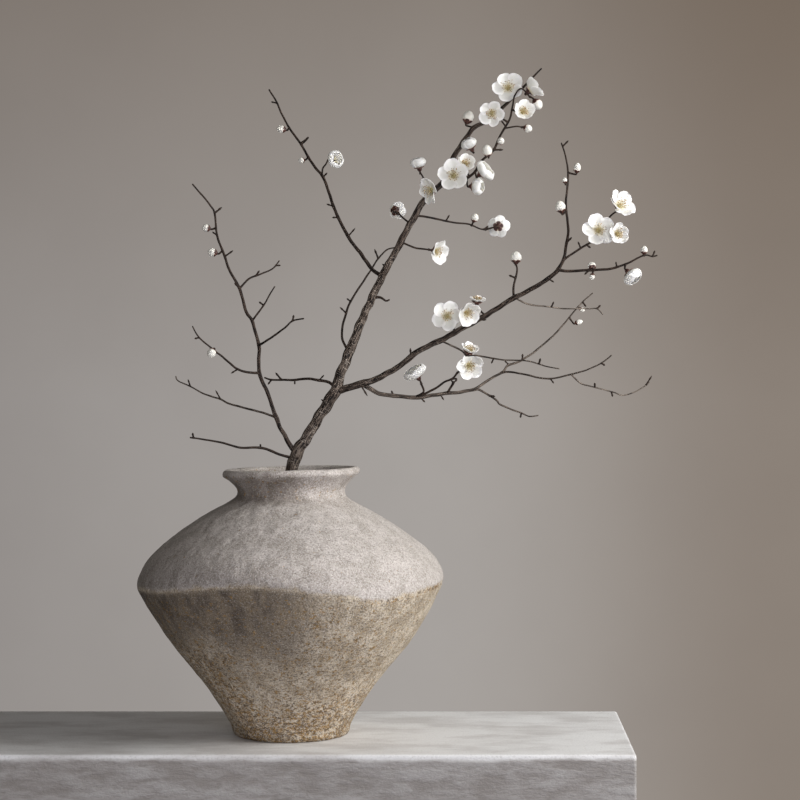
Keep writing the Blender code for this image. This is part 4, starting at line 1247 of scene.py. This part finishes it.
@dataclass
class Wood:
    """The branch's wood: every limb drawn out of a circle, with swollen nodes, relief and flared roots."""

    growth: Growth
    families: dict[str, Sequence[str]] = field(default_factory=lambda: {
        "wood_leader": ("leader",),
        "wood_left": ("left stem", "lowest left twig", "pale left twig", "left twig", "inner left twig",
                      "short left twig", "high left twig"),
        "wood_upper_left": ("crossing twig", "back twig", "upper left stem", "stub", "thick spur",
                            "bloom 20 stalk"),
        "wood_right": ("right limb", "right end", "right shoot", "bloom shoot", "bud shoot",
                       "fine right twig", "fine middle twig"),
        "wood_lower": ("lower limb", "lower bloom twig", "scaly twig", "fan stalk", "sweeping twig",
                       "far right twig", "far fine twig", "drooping twig"),
        "wood_top": ("top shoot", "top bud twig", "middle twig", "middle bloom twig", "bloom 21 stalk",
                     "bloom 24 stalk"),
    })
    water_line: float = 200     # below this height the leader is out of sight in the vase
    spur_root: float = 1.9
    spur_rings: Sequence[Pair] = (
        (0.16, 0.72), (0.25, 0.86), (0.13, 0.92), (0.07, 1.32), (0.12, 1.02), (0.12, 0.72), (0.1, 0.55),
        (0.05, 0.4))
    stalk_girth: float = 1.7
    rows: Pair = (1.3, 2.4)     # the shortest and longest distance between two rings of a limb
    row_share: float = 0.36     # that distance as a share of the limb's greatest girth
    swelling: float = 0.1       # how far nodes swell, and the relief's kinds, as shares of the girth
    knots: float = 0.08
    ridges: float = 0.07
    rings: float = 0.035
    flare: float = 0.4
    sway: float = 0.16

    def nodes_on(self, name: str, curve: Sequence[Vector]) -> list[float]:
        """How far along a limb its nodes lie: where twigs, spurs, blooms and buds leave it.

        Args:
            name: The limb's name.
            curve: Its middle line.

        Returns:
            The distances from its root, in millimetres.
        """
        growth = self.growth
        holders = [*BLOOMS.values(), *BUDS.values()]
        places = [growth.paths[child][0] for child, limb in LIMBS.items() if limb.parent == name]
        places += [growth.nearest(name, spur[:2]) for spur in SPURS.get(name, ())]
        places += [growth.nearest(name, (item.x, item.z)) for item in holders if item.limb == name]
        lengths = arc_lengths(curve)
        found = []
        for place in places:
            spot = growth.in_space(*place)
            found.append(lengths[min(range(len(curve)), key=lambda index: (curve[index] - spot).length)])
        return found

    def draw_limb(self, name: str, curve: Sequence[Vector], girths: Sequence[float], nodes: Sequence[float],
                  rooted: bool = True) -> Thing:
        """Draw a limb out of a circle as a straight column, carve it, and lay it along its curve.

        Args:
            name: The limb's name.
            curve: Its middle line.
            girths: Its diameters, evenly spaced.
            nodes: How far along its swollen nodes lie.
            rooted: Whether its root flares into a parent.

        Returns:
            The limb.
        """
        lengths = arc_lengths(curve)
        total, widest = lengths[-1], max(girths)
        radii = [even_value(girths, length / total) / 2 for length in lengths]
        rings = [(lengths[i] - lengths[i - 1], radii[i] / radii[i - 1]) for i in range(1, len(curve))]
        rings += [(radii[-1] * 0.35, share) for share in (0.8, 0.5)]
        sides = 28 if widest > 7 else 18 if widest > 4 else 12 if widest > 2.4 else 10
        limb = draw_column(name, sides, radii[0], rings)
        seed = Vector((len(name) * 3.7, total * 0.13, curve[-1].z * 0.07))

        def girth_at(height: float) -> float:
            """The straight column's diameter at a height."""
            return even_value(girths, min(1.0, max(0.0, height / total)))
        reshape(limb, lambda place: self.carve(place, girth_at(place.z), nodes, seed, rooted))
        store(limb, "grain", lambda place: (place + seed * 10) * MM)
        store(limb, "age", lambda place: (girth_at(place.z), PALE.get(name, 0.0), 0))
        frames = self.curve_frames(curve)

        def lay(place: Vector) -> Vector:
            """Carry a point of the straight column to the curve."""
            index = min(bisect_right(lengths, place.z + 0.01), len(lengths)) - 1
            return frames[index] @ Vector((place.x, place.y, place.z - lengths[index]))
        return reshape(limb, lay)

    def carve(self, place: Vector, girth: float, nodes: Sequence[float], seed: Vector,
              rooted: bool) -> Vector:
        """Give a point of the straight column its node swellings, knots and bark relief.

        Args:
            place: The point.
            girth: The column's diameter there.
            nodes: How far along its nodes lie.
            seed: What sets its relief apart from another limb's.
            rooted: Whether its root flares.

        Returns:
            The moved point.
        """
        up = place.z
        away = Vector((place.x, place.y, 0))
        x, y, _ = away.normalized() if away.length > 1e-6 else away
        swell = sum(hump(up, node, 0.8 * girth + 0.5) for node in nodes)
        knots = uneven(x * 0.7, y * 0.7, up / (girth * 3.2), seed)
        ridges = uneven(x * 2.6, y * 2.6, up / (girth * 2.5), seed * 2)
        rings = uneven(x * 0.9, y * 0.9, up / 1.4, seed * 3)
        scale = 0.96 + self.swelling * min(swell, 1.2)
        scale += self.knots * knots + self.ridges * ridges + self.rings * rings
        if rooted:
            scale += self.flare * math.exp(-up / (girth * 0.8))
        sway = Vector((uneven(up / 9, 0, 0, seed), uneven(0, up / 9, 0, seed), 0))
        return away * scale + sway * self.sway * girth * blend(0, 8, up) + Vector((0, 0, up))

    def curve_frames(self, curve: Sequence[Vector]) -> list[Matrix]:
        """Frames along a curve that turn as little as they can.

        Args:
            curve: The points.

        Returns:
            A frame at each point, Z along the curve.
        """
        frames = []
        side = None
        for index, point in enumerate(curve):
            ahead = curve[min(index + 1, len(curve) - 1)] - curve[max(index - 1, 0)]
            ahead.normalize()
            side = side or ahead.orthogonal()
            side = (side - ahead * side.dot(ahead)).normalized()
            axes = Matrix((side, ahead.cross(side), ahead)).transposed()
            frames.append(Matrix.Translation(point) @ axes.to_4x4())
        return frames

    def spurs(self) -> list[Thing]:
        """Copy one short spur, with a leaf bud at its tip, to every place that has one.

        Returns:
            The spurs.
        """
        chance = random.Random(11)
        pattern = draw_column("spur pattern", 9, 1.25, self.spur_rings)
        store(pattern, "grain", lambda place: place * 3 * MM)
        store(pattern, "age", lambda place: (1.2, 0, 0))
        spurs = []
        for limb, places in SPURS.items():
            for root_x, root_z, tip_x, tip_z in places:
                near = self.growth.nearest(limb, (root_x, root_z))
                root = self.growth.in_space(*near)
                tip = self.growth.in_space(tip_x, tip_z, near[2] + chance.uniform(-2, 2))
                girth = self.spur_root / 2 * chance.uniform(0.85, 1.15)
                shape = Matrix.Diagonal((girth, girth, (tip - root).length * 1.08, 1))
                spurs.append(copy_of(pattern, "spur", facing_frame(root, tip - root) @ shape))
        discard(pattern)
        return spurs

    def stalk(self, name: str, holder: Holder) -> Thing:
        """Draw the short stalk of a bloom or bud.

        Args:
            name: The stalk's name.
            holder: The bloom or bud.

        Returns:
            The stalk.
        """
        cup, length = Calyx.size(holder)
        facing = Vector(holder.facing).normalized()
        root = self.growth.in_space(*self.growth.nearest(holder.limb, (holder.x, holder.z)))
        foot = self.growth.seat(holder) - facing * length
        inside = foot + facing * length * 0.4
        route = [root, foot - facing, inside] if (foot - root).length > 3 else [root - facing, inside]
        girth = min(self.stalk_girth, cup * 1.1)
        curve = smooth_route(route, 0.9)
        girths = (girth * 1.1, girth * 0.9, girth * 1.05)
        return self.draw_limb(name, curve, girths, [arc_lengths(curve)[-1] * 0.45])

    def build(self, bark: Material) -> None:
        """Make all the wood and dress it.

        Args:
            bark: Its finish.
        """
        for piece, limbs in self.families.items():
            drawn = []
            for name in limbs:
                limb = LIMBS[name]
                row = max(self.rows[0], min(self.rows[1], max(limb.girths) * self.row_share))
                curve = self.growth.curve(name, row)
                if limb.parent is None:
                    hidden = [point for point in curve if point.z < self.water_line]
                    curve = hidden[::6] + curve[len(hidden):]
                nodes = self.nodes_on(name, curve)
                drawn.append(self.draw_limb(name, curve, limb.girths, nodes, limb.parent is not None))
            dress(join(piece, drawn), bark, Slot.BARK, ["branch"])
        dress(join("wood_spurs", self.spurs()), bark, Slot.BARK, ["branch"])
        stalks = [self.stalk("stalk " + name, bloom) for name, bloom in BLOOMS.items()]
        stalks += [self.stalk("stalk bud " + name, bud) for name, bud in BUDS.items()]
        dress(join("flower_stalks", stalks), bark, Slot.BARK, ["branch"])


# Blooms and buds


def blade_pattern(name: str, edge: int, rings: int) -> Thing:
    """A flat round blade of radius 1, inset ring by ring, that petals and sepals are shaped from.

    Args:
        name: The pattern's name.
        edge: How many points its edge has.
        rings: How many rings are inset.

    Returns:
        The blade, with its own place kept as "blade": across from -1 to 1, along from 0 at its root to 1, and
        distance from the middle.
    """
    start_shape(bpy.ops.mesh.primitive_circle_add, vertices=edge, radius=1, fill_type="NGON")
    for _ in range(rings):
        bpy.ops.mesh.inset(thickness=0.93 / (rings + 0.5))
    bpy.ops.mesh.poke()
    return store(end_shape(name), "blade", lambda place: (place.x, (place.y + 1) / 2, place.length))


@dataclass
class Calyx:
    """The calyx under a bloom or bud: a small cup with five round sepals."""

    growth: Growth
    pattern: Thing
    radius: float = 2.7
    length: float = 3.4
    rings: Sequence[Pair] = ((0.1, 1.5), (0.2, 1.45), (0.25, 1.2), (0.25, 1.1), (0.18, 1.08), (0.02, 0.96))
    sepal_length: float = 3.3
    sepal_width: float = 2.1    # half the width
    thickness: float = 0.4
    bud_reach: float = 0.2      # how far a bud's sepals reach up it, as a share of half a turn
    bud_width: float = 0.62     # half a bud's sepal's width, as an angle
    cup_steep: float = 18       # degrees that a sepal stands up under a wrapped bloom

    @classmethod
    def size(cls, holder: Holder) -> Pair:
        """A calyx cup's radius and length: a bud's go by the bud."""
        of_bud = holder.radius * 0.6, holder.radius * 0.45
        return of_bud if isinstance(holder, Bud) else (cls.radius, cls.length)

    def cup(self, radius: float, length: float) -> Thing:
        """Draw the cup out of a circle, up to the seat.

        Args:
            radius: The cup's radius.
            length: Its length.

        Returns:
            The cup.
        """
        rings = [(length * up, scale) for up, scale in self.rings]
        cup = draw_column("cup", 20, radius * 0.3, rings, -length)
        return store(cup, "blade", lambda place: (0, 0.3, 0.3))

    def bloom_sepal(self, bloom: Bloom, turn: float) -> Move:
        """How a sepal at an angle lies under the petals of an open bloom.

        Args:
            bloom: The bloom.
            turn: The sepal's angle round the bloom.

        Returns:
            A function that moves a point of the flat blade.
        """
        steep = math.radians(self.cup_steep if bloom.tilt > Blossom.closed else bloom.tilt * 0.8 - 6)

        def lay(place: Vector) -> Vector:
            """Carry a point of the flat blade to its place.

            Args:
                place: The point on the blade.

            Returns:
                Its place on the bloom or bud.
            """
            along, across = (place.y + 1) / 2, place.x
            reach = self.radius * 0.62 + self.sepal_length * along * math.cos(steep)
            side = across * self.sepal_width * (0.75 + 0.25 * blend(0, 0.5, along))
            up = -0.25 + self.sepal_length * along * math.sin(steep) + 0.35 * across * across
            return Matrix.Rotation(turn, 3, "Z") @ Vector((reach, side, up))
        return lay

    def bud_sepal(self, bud: Bud, turn: float) -> Move:
        """How a sepal at an angle hugs a closed bud.

        Args:
            bud: The bud.
            turn: The sepal's angle round the bud.

        Returns:
            A function that moves a point of the flat blade.
        """
        def lay(place: Vector) -> Vector:
            """Carry a point of the flat blade to its place.

            Args:
                place: The point on the blade.

            Returns:
                Its place on the bloom or bud.
            """
            polar = math.pi * (0.88 - self.bud_reach * (place.y + 1) / 2)
            reach = (bud.radius + 0.35) * math.sin(polar)
            up = ((bud.radius + 0.2) * math.cos(polar) + bud.radius * 0.8) * bud.stretch + 0.2
            around = turn + place.x * self.bud_width
            return Vector((reach * math.cos(around), reach * math.sin(around), up))
        return lay

    def build(self, holders: dict[str, Holder], name: str, skin: Material) -> None:
        """Make the calyxes of several blooms or buds as one piece.

        Args:
            holders: The blooms or buds.
            name: The piece's name.
            skin: Its finish.
        """
        cups = []
        for key, holder in holders.items():
            chance = random.Random(f"calyx {name} {key}")
            start = chance.uniform(0, math.tau)
            shape = self.bud_sepal if isinstance(holder, Bud) else self.bloom_sepal
            turns = [start + index * math.tau / 5 + chance.uniform(-0.08, 0.08) for index in range(5)]
            sepals = [reshape(copy_of(self.pattern, "sepal"), shape(holder, turn)) for turn in turns]
            whole = join("sepals", sepals)
            thicken(whole, self.thickness)
            calyx = join("calyx", [whole, self.cup(*self.size(holder))])
            calyx.data.transform(self.growth.stand(holder))
            cups.append(calyx)
        dress(join(name, cups), skin, Slot.BARK, ["branch"], sharp=60)


@dataclass
class Blossom:
    """The open blooms: five broad, cupped petals with ruffled edges, and stamens on a low dome in the middle.
    """

    growth: Growth
    pattern: Thing
    gap: float = 0.3            # over the calyx
    hub: float = 1.5            # radius at which the petals begin
    hub_height: float = 0.35
    petal_width: float = 0.51   # half the width, as a share of the length
    thickness: float = 0.3
    cupping: float = 0.26
    crimp: float = 0.025        # the fine waves of a petal's edge, as a share of its length
    notch: float = 0.035        # how far its tip is drawn in, likewise
    root_rise: float = 14       # degrees more that a petal rises at its root
    roll: float = 9             # degrees that a petal leans over its neighbour
    closed: float = 38          # past this tilt the petals wrap round to a cup, and its stamens are left out
    wrap: float = 0.95          # half a wrapped petal's width, as a share of the cup's radius
    lapping: float = 0.06       # how far a wrapped petal's side lies outside the next, likewise
    outline: float = 0.07       # how uneven a petal's outline is
    cup_outline: float = 0.05   # the same for a wrapped one
    threads: int = 32
    thread_length: Pair = (0.34, 0.52)  # as shares of the bloom's radius
    root_height: float = 0.5    # at which the threads begin
    thread_girth: float = 0.3   # drawn thicker than the real 0.15 so that it shows
    anther_size: float = 0.9
    widest: float = 44          # degrees that the outer stamens lean out
    floor_rings: Sequence[Pair] = ((0.35, 0.96), (0.25, 0.85), (0.15, 0.7), (0.08, 0.5), (0.02, 0.3))

    def petal(self, bloom: Bloom, tilt: float, turn: float, chance: random.Random) -> Move:
        """How one petal of an open bloom lies.

        Args:
            bloom: The bloom.
            tilt: How far this petal stands up, in degrees.
            turn: Its angle round the bloom.
            chance: What makes it differ from the others.

        Returns:
            A function that moves a point of the flat blade.
        """
        length = (bloom.radius - self.hub) * chance.uniform(0.96, 1.05)
        width = length * self.petal_width * chance.uniform(0.94, 1.06)
        seed = Vector([chance.uniform(0, 50) for _ in range(3)])
        ruffle = 0.08 + 0.06 * chance.random()
        roll = math.radians(self.roll + chance.uniform(-3, 3))
        incurve = math.radians(10 + chance.uniform(-8, 12))

        def lay(place: Vector) -> Vector:
            """Carry a point of the flat blade to its place.

            Args:
                place: The point on the blade.

            Returns:
                Its place on the bloom or bud.
            """
            x, y, edge = place.x, place.y, place.length
            swell = 1 + self.outline * edge * uneven(x * 1.7, y * 1.7, 0, seed)
            across, along = x * swell, (y * swell + 1) / 2
            along -= self.notch * hump(across, 0, 0.2) * blend(0.8, 1, along)
            side = across * width * (0.5 + 0.5 * blend(0.0, 0.42, along))
            wave = ruffle * uneven(x * 1.5, y * 1.5, 4, seed) + self.crimp * uneven(x * 4.2, y * 4.2, 8, seed)
            rise = self.cupping * abs(across) ** 1.6 * width * (0.35 + 0.65 * along)
            rise += length * edge ** 3 * wave + side * math.sin(roll)
            steep = math.radians(tilt + self.root_rise * (1 - along)) + incurve * (along ** 2 - 0.35)
            out = self.hub + length * along * math.cos(steep) - rise * math.sin(steep)
            up = self.hub_height + length * along * math.sin(steep) + rise * math.cos(steep)
            return Matrix.Rotation(turn, 3, "Z") @ Vector((out, side * math.cos(roll), max(up, 0.05)))
        return lay

    def cup_petal(self, bloom: Bloom, turn: float, chance: random.Random) -> Move:
        """How one petal of a half-open bloom wraps round it, over its neighbour on one side only.

        Args:
            bloom: The bloom.
            turn: Its angle round the bloom.
            chance: What makes it differ from the others.

        Returns:
            A function that moves a point of the flat blade.
        """
        tilt = math.radians(bloom.tilt)
        radius = self.hub + (bloom.radius - self.hub) * math.cos(tilt)
        height = (bloom.radius - self.hub) * math.sin(tilt) * chance.uniform(0.95, 1.07) + 1.2
        first, last = math.radians(10), math.radians(74 + 1.4 * bloom.tilt + chance.uniform(-7, 7))
        seed = Vector([chance.uniform(0, 50) for _ in range(3)])

        def lay(place: Vector) -> Vector:
            """Carry a point of the flat blade to its place.

            Args:
                place: The point on the blade.

            Returns:
                Its place on the bloom or bud.
            """
            across, along = place.x, (place.y + 1) / 2
            polar = first + (last - first) * along
            swell = self.cup_outline * place.length ** 2 * uneven(place.x * 1.6, place.y * 1.6, 3, seed)
            out = radius * math.sin(polar) * (1 + self.lapping * across + swell)
            around = turn + across * min(self.wrap * radius / max(out, 0.5), 1.05)
            up = self.hub_height + height * (1 - math.cos(polar)) / (1 - math.cos(last))
            return Vector((out * math.cos(around), out * math.sin(around), up))
        return lay

    def build_petals(self, name: str, bloom: Bloom, skin: Material) -> None:
        """Make a bloom's petals as one piece.

        Args:
            name: The bloom's number.
            bloom: The bloom.
            skin: The petals' finish.
        """
        chance = random.Random(f"bloom {name}")
        detail = random.Random(f"ruffles {name}")
        start = chance.uniform(0, math.tau)
        petals = []
        for index in range(5):
            tilt, turn = bloom.tilt + chance.uniform(-5, 5), start + index * math.tau / 5
            wrapped = bloom.tilt > self.closed
            move = self.cup_petal(bloom, turn, detail) if wrapped else self.petal(bloom, tilt, turn, detail)
            petals.append(reshape(copy_of(self.pattern, "petal"), move))
        whole = join(f"petals_{name}", petals)
        thicken(whole, self.thickness)
        whole.data.transform(self.growth.stand(bloom, self.gap))
        dress(whole, skin, Slot.PETAL, [f"bloom_{name}"], sharp=80)

    def thread_pattern(self) -> Thing:
        """One stamen thread of length 1 to be copied."""
        thread = draw_column("thread pattern", 5, self.thread_girth / 2, [(1 / 3, 0.88)] * 3)
        return store(thread, "blade", lambda place: (0, place.z, 0))

    def anther_pattern(self) -> Thing:
        """Model one anther, a small two-lobed grain, to be copied.

        Returns:
            The anther.
        """
        start_shape(bpy.ops.mesh.primitive_ico_sphere_add, subdivisions=2, radius=self.anther_size / 2)
        bpy.ops.transform.resize(value=(1.15, 0.75, 0.85))
        anther = end_shape("anther pattern")
        return reshape(anther, lambda place: place * (0.72 + 0.28 * blend(0, 0.25, abs(place.x))))

    def cup_floor(self) -> Thing:
        """The low dome in the middle of a bloom that its stamens stand on."""
        dome = draw_column("cup floor", 18, 2.2, self.floor_rings, 0.1)
        return store(dome, "blade", lambda place: (0, 0, 0))

    def build_stamens(self, name: str, bloom: Bloom, thread: Thing, anther: Thing,
                      skins: tuple[Material, Material]) -> None:
        """Make a bloom's stamens: the threads with the cup's floor as one piece, the anthers as another.

        Args:
            name: The bloom's number.
            bloom: The bloom.
            thread: The thread to copy.
            anther: The anther to copy.
            skins: The threads' finish and the anthers'.
        """
        chance = random.Random(f"threads {name}")
        widest = math.radians(min(self.widest, (92 - bloom.tilt) * 0.6))
        threads, anthers = [self.cup_floor()], []
        for index in range(self.threads):
            share = math.sqrt((index + 0.5) / self.threads)
            lean = widest * share * chance.uniform(0.85, 1.1)
            around = index * GOLDEN_TURN + chance.uniform(-0.2, 0.2)
            x, y = math.cos(around), math.sin(around)
            away = Vector((math.sin(lean) * x, math.sin(lean) * y, math.cos(lean)))
            root = Vector((x * self.hub * share, y * self.hub * share, self.root_height))
            length = bloom.radius * chance.uniform(*self.thread_length)
            shape = Matrix.Diagonal((1, 1, length, 1))
            threads.append(copy_of(thread, "thread", facing_frame(root, away) @ shape))
            spin = Matrix.Rotation(chance.uniform(0, math.tau), 4, "Z")
            spin = spin @ Matrix.Scale(chance.uniform(0.8, 1.15), 4)
            anthers.append(copy_of(anther, "anther", facing_frame(root + away * length, away) @ spin))
        nodes = [f"stamens_{name}"] if bloom.stamens else []
        for whole, skin, slot in ((join(f"threads_{name}", threads), skins[0], Slot.PETAL),
                                  (join(f"anthers_{name}", anthers), skins[1], Slot.POLLEN)):
            whole.data.transform(self.growth.stand(bloom, self.gap + 0.4))
            dress(whole, skin, slot, nodes, sharp=80)

    def build(self, petal: Material, thread: Material, pollen: Material) -> None:
        """Make every open bloom.

        Args:
            petal: The petals' finish.
            thread: The stamen threads'.
            pollen: The anthers'.
        """
        patterns = self.thread_pattern(), self.anther_pattern()
        for name, bloom in BLOOMS.items():
            self.build_petals(name, bloom, petal)
            if bloom.tilt < self.closed:
                self.build_stamens(name, bloom, *patterns, (thread, pollen))
        discard(*patterns)


@dataclass
class BudEgg:
    """The closed buds: an egg of petals that lap over each other."""

    growth: Growth
    gap: float = 0.3
    foot: float = 0.8           # the flat foot's depth, as a share of the radius
    height: float = 1.04        # half of a bud's height before it is stretched, likewise
    laps: int = 3
    lap_height: float = 0.07    # likewise

    def egg_pattern(self) -> Thing:
        """Model a round egg of radius 1 to be copied.

        Returns:
            The egg.
        """
        start_shape(bpy.ops.mesh.primitive_uv_sphere_add, segments=36, ring_count=22, radius=1)
        bpy.ops.transform.resize(value=(1, 1, self.height))
        return store(end_shape("egg pattern"), "blade", lambda place: (place.x, 0.5 + place.z / 2.1, 0))

    def lap(self, place: Vector, bud: Bud, start: float) -> Vector:
        """Carry a point of the round egg to the bud's shape.

        Args:
            place: The point.
            bud: The bud.
            start: Where its petals begin, as an angle.

        Returns:
            The point, foot at 0.
        """
        polar = math.acos(max(-1.0, min(1.0, place.z / self.height)))
        edge = (math.atan2(place.y, place.x) + start + polar * 0.9) / math.tau * self.laps % 1
        step = edge - 0.5 - blend(0.9, 1.0, edge) * edge
        relief = 1 + self.lap_height * step * math.sin(polar) ** 0.7
        out = relief * (1 - 0.1 * blend(-0.2, 1, place.z))
        up = max(place.z, -self.foot) + self.foot
        return Vector((place.x * out, place.y * out, up * bud.stretch)) * bud.radius

    def build(self, skin: Material) -> None:
        """Make every bud.

        Args:
            skin: The buds' finish.
        """
        pattern = self.egg_pattern()
        for name, bud in BUDS.items():
            start = random.Random(f"bud {name}").uniform(0, math.tau)
            egg = reshape(copy_of(pattern, f"bud_petals_{name}"), lambda place: self.lap(place, bud, start))
            egg.data.transform(self.growth.stand(bud, self.gap))
            dress(egg, skin, Slot.PETAL, [f"bud_{name}"], sharp=80)
        discard(pattern)


# The studio


@dataclass(frozen=True)
class Lamp:
    """A soft square light."""

    name: str
    place: Point
    aim: Point
    size: float
    power: float                # in watts
    shade: str = "#FFFFFF"
    spread: float = 180         # how wide its beam is, in degrees, which a grid narrows

    def hang(self) -> None:
        """Make the lamp."""
        lamp = bpy.data.lights.new(self.name, "AREA")
        lamp.shape = "SQUARE"
        lamp.size = self.size * MM
        lamp.energy = self.power
        lamp.color = linear(self.shade)[:3]
        lamp.spread = math.radians(self.spread)
        thing = bpy.data.objects.new(self.name, lamp)
        thing.location = Vector(self.place) * MM
        thing.rotation_euler = (Vector(self.aim) - Vector(self.place)).to_track_quat("-Z", "Y").to_euler()
        bpy.context.scene.collection.objects.link(thing)


@dataclass
class Studio:
    """The plinth, the soft lights, the plain backdrop colour and the camera."""

    plinth_low: Point = (-1100, -100, -90)
    plinth_high: Point = (301.5, 105, 0)
    plinth_skew: float = 0.044  # how far its right end runs out with every millimetre of depth
    plinth_edge: float = 2.5    # how far its edges are worn round
    camera_place: Point = (97.7, -1550, 298.8)
    lens: float = 77.5
    wall: str = "#95908D"
    wall_glow: str = "#AAA5A1"  # behind the vase, where the light falls on it
    wall_shade: str = "#8C8279"  # to the right, away from the light
    dusk: str = "#DAD3CB"       # what the wall's colours are multiplied by high up
    mottle: str = "#5E5650"     # what the plain wall is faintly clouded with
    ambient: str = "#5A5754"
    lamps: Sequence[Lamp] = (
        Lamp("key", (1237, -392, 792), (30, 0, 200), 700, 23),
        Lamp("fill", (450, -1650, 80), (30, 0, 200), 1200, 17, "#F4F4FF"),
        Lamp("back", (-300, 1650, 0), (30, 0, 200), 1200, 8),
        Lamp("blossoms", (-250, -1500, 620), (150, 0, 470), 400, 0.22, "#FFFDF8", 26))

    def build_plinth(self, lime: Material) -> None:
        """The plinth: a slab with softened edges, which the vase stands on.

        Args:
            lime: Its finish.
        """
        low, high = Vector(self.plinth_low), Vector(self.plinth_high)
        start_shape(bpy.ops.mesh.primitive_cube_add, (low + high) / 2, size=1, scale=high - low)
        bpy.ops.mesh.bevel(offset=self.plinth_edge, segments=3, affect="EDGES")
        plinth = end_shape("plinth")
        reshape(plinth, lambda place: place + Vector((self.plinth_skew * place.y * (place.x > 0), 0, 0)))
        plinth.data.transform(Matrix.Scale(MM, 4))
        plinth.data.materials.append(lime)

    def build_backdrop(self) -> None:
        """The plain colour behind everything, lightest low down behind the vase, and the room's dim light."""
        world = bpy.data.worlds.new("backdrop")
        bpy.context.scene.world = world
        world.use_nodes = True
        nodes = Nodes(world.node_tree)
        add = nodes.add
        even = {"interpolation_type": "LINEAR"}
        look = add("TexCoord", out="Generated")
        aside, _, up = add("SeparateXYZ", look).node.outputs
        rise = add("MapRange", up, 0.0, 0.24, **even)
        fade = add("MapRange", rise, 0.0, 1.0, 1.0, 0.55, **even)
        left = add("MapRange", aside, -0.24, 0.04, 0.0, fade, **even)
        cloud = add("MapRange", add("TexNoise", look, 14.0, 5.0), 0.35, 0.7, 0.0, 0.06, **even)
        seen = add("Mix", left, self.wall, self.wall_glow)
        seen = add("Mix", add("MapRange", aside, 0.0, 0.22), seen, self.wall_shade)
        seen = add("Mix", rise, seen, self.dusk, blend_type="MULTIPLY")
        seen = add("Mix", cloud, seen, self.mottle)
        lit = add("Mix", add("LightPath", out="Is Camera Ray"), self.ambient, seen)
        nodes.give(world.node_tree.nodes["Background"].inputs["Color"], lit)

    def build_camera(self) -> None:
        """The camera at the photograph's viewing angle, level."""
        camera = bpy.data.cameras.new("camera")
        camera.lens = self.lens
        thing = bpy.data.objects.new("camera", camera)
        thing.location = Vector(self.camera_place) * MM
        thing.rotation_euler = (math.pi / 2, 0, 0)
        bpy.context.scene.collection.objects.link(thing)
        bpy.context.scene.camera = thing

    def build(self, lime: Material) -> None:
        """Make the studio.

        Args:
            lime: The plinth's finish.
        """
        bpy.context.scene.view_settings.view_transform = "Standard"
        self.build_plinth(lime)
        for lamp in self.lamps:
            lamp.hang()
        self.build_backdrop()
        self.build_camera()


def dress_node(name: str, material: Material) -> None:
    """Give a CAD node that stays its finish.

    Args:
        name: The node's name.
        material: Its finish.
    """
    for slot in frame["nodes"][name].material_slots:
        slot.material = material
    logging.info("%s: kept from the frame", name)


def main() -> None:
    """Build every piece in order."""
    logging.basicConfig(level=logging.INFO, format="%(message)s")
    for thing in list(bpy.data.objects):
        if thing.type in ("CAMERA", "LIGHT") or thing.name == "Cube":
            discard(thing)
    Studio().build(Plaster().build())
    dress_node("water", Water().build())
    dress_node("pin_holder", TarnishedBrass().build())
    Vase().build(Stoneware().build())
    growth = Growth()
    Wood(growth).build(Bark().build())
    petals = blade_pattern("petal pattern", 32, 6)
    sepals = blade_pattern("sepal pattern", 14, 2)
    skin = Sepal().build()
    calyx = Calyx(growth, sepals)
    calyx.build(BLOOMS, "bloom_calyxes", skin)
    calyx.build(BUDS, "bud_calyxes", skin)
    Blossom(growth, petals).build(PetalSkin().build(), Filament().build(), Pollen().build())
    bud_skin = PetalSkin("bud petal", body="#E6E1D9", claw="#CFBDA9", claw_reach=0.35, through=0.08)
    BudEgg(growth).build(bud_skin.build())
    discard(petals, sepals)


if __name__ == "__main__":
    main()
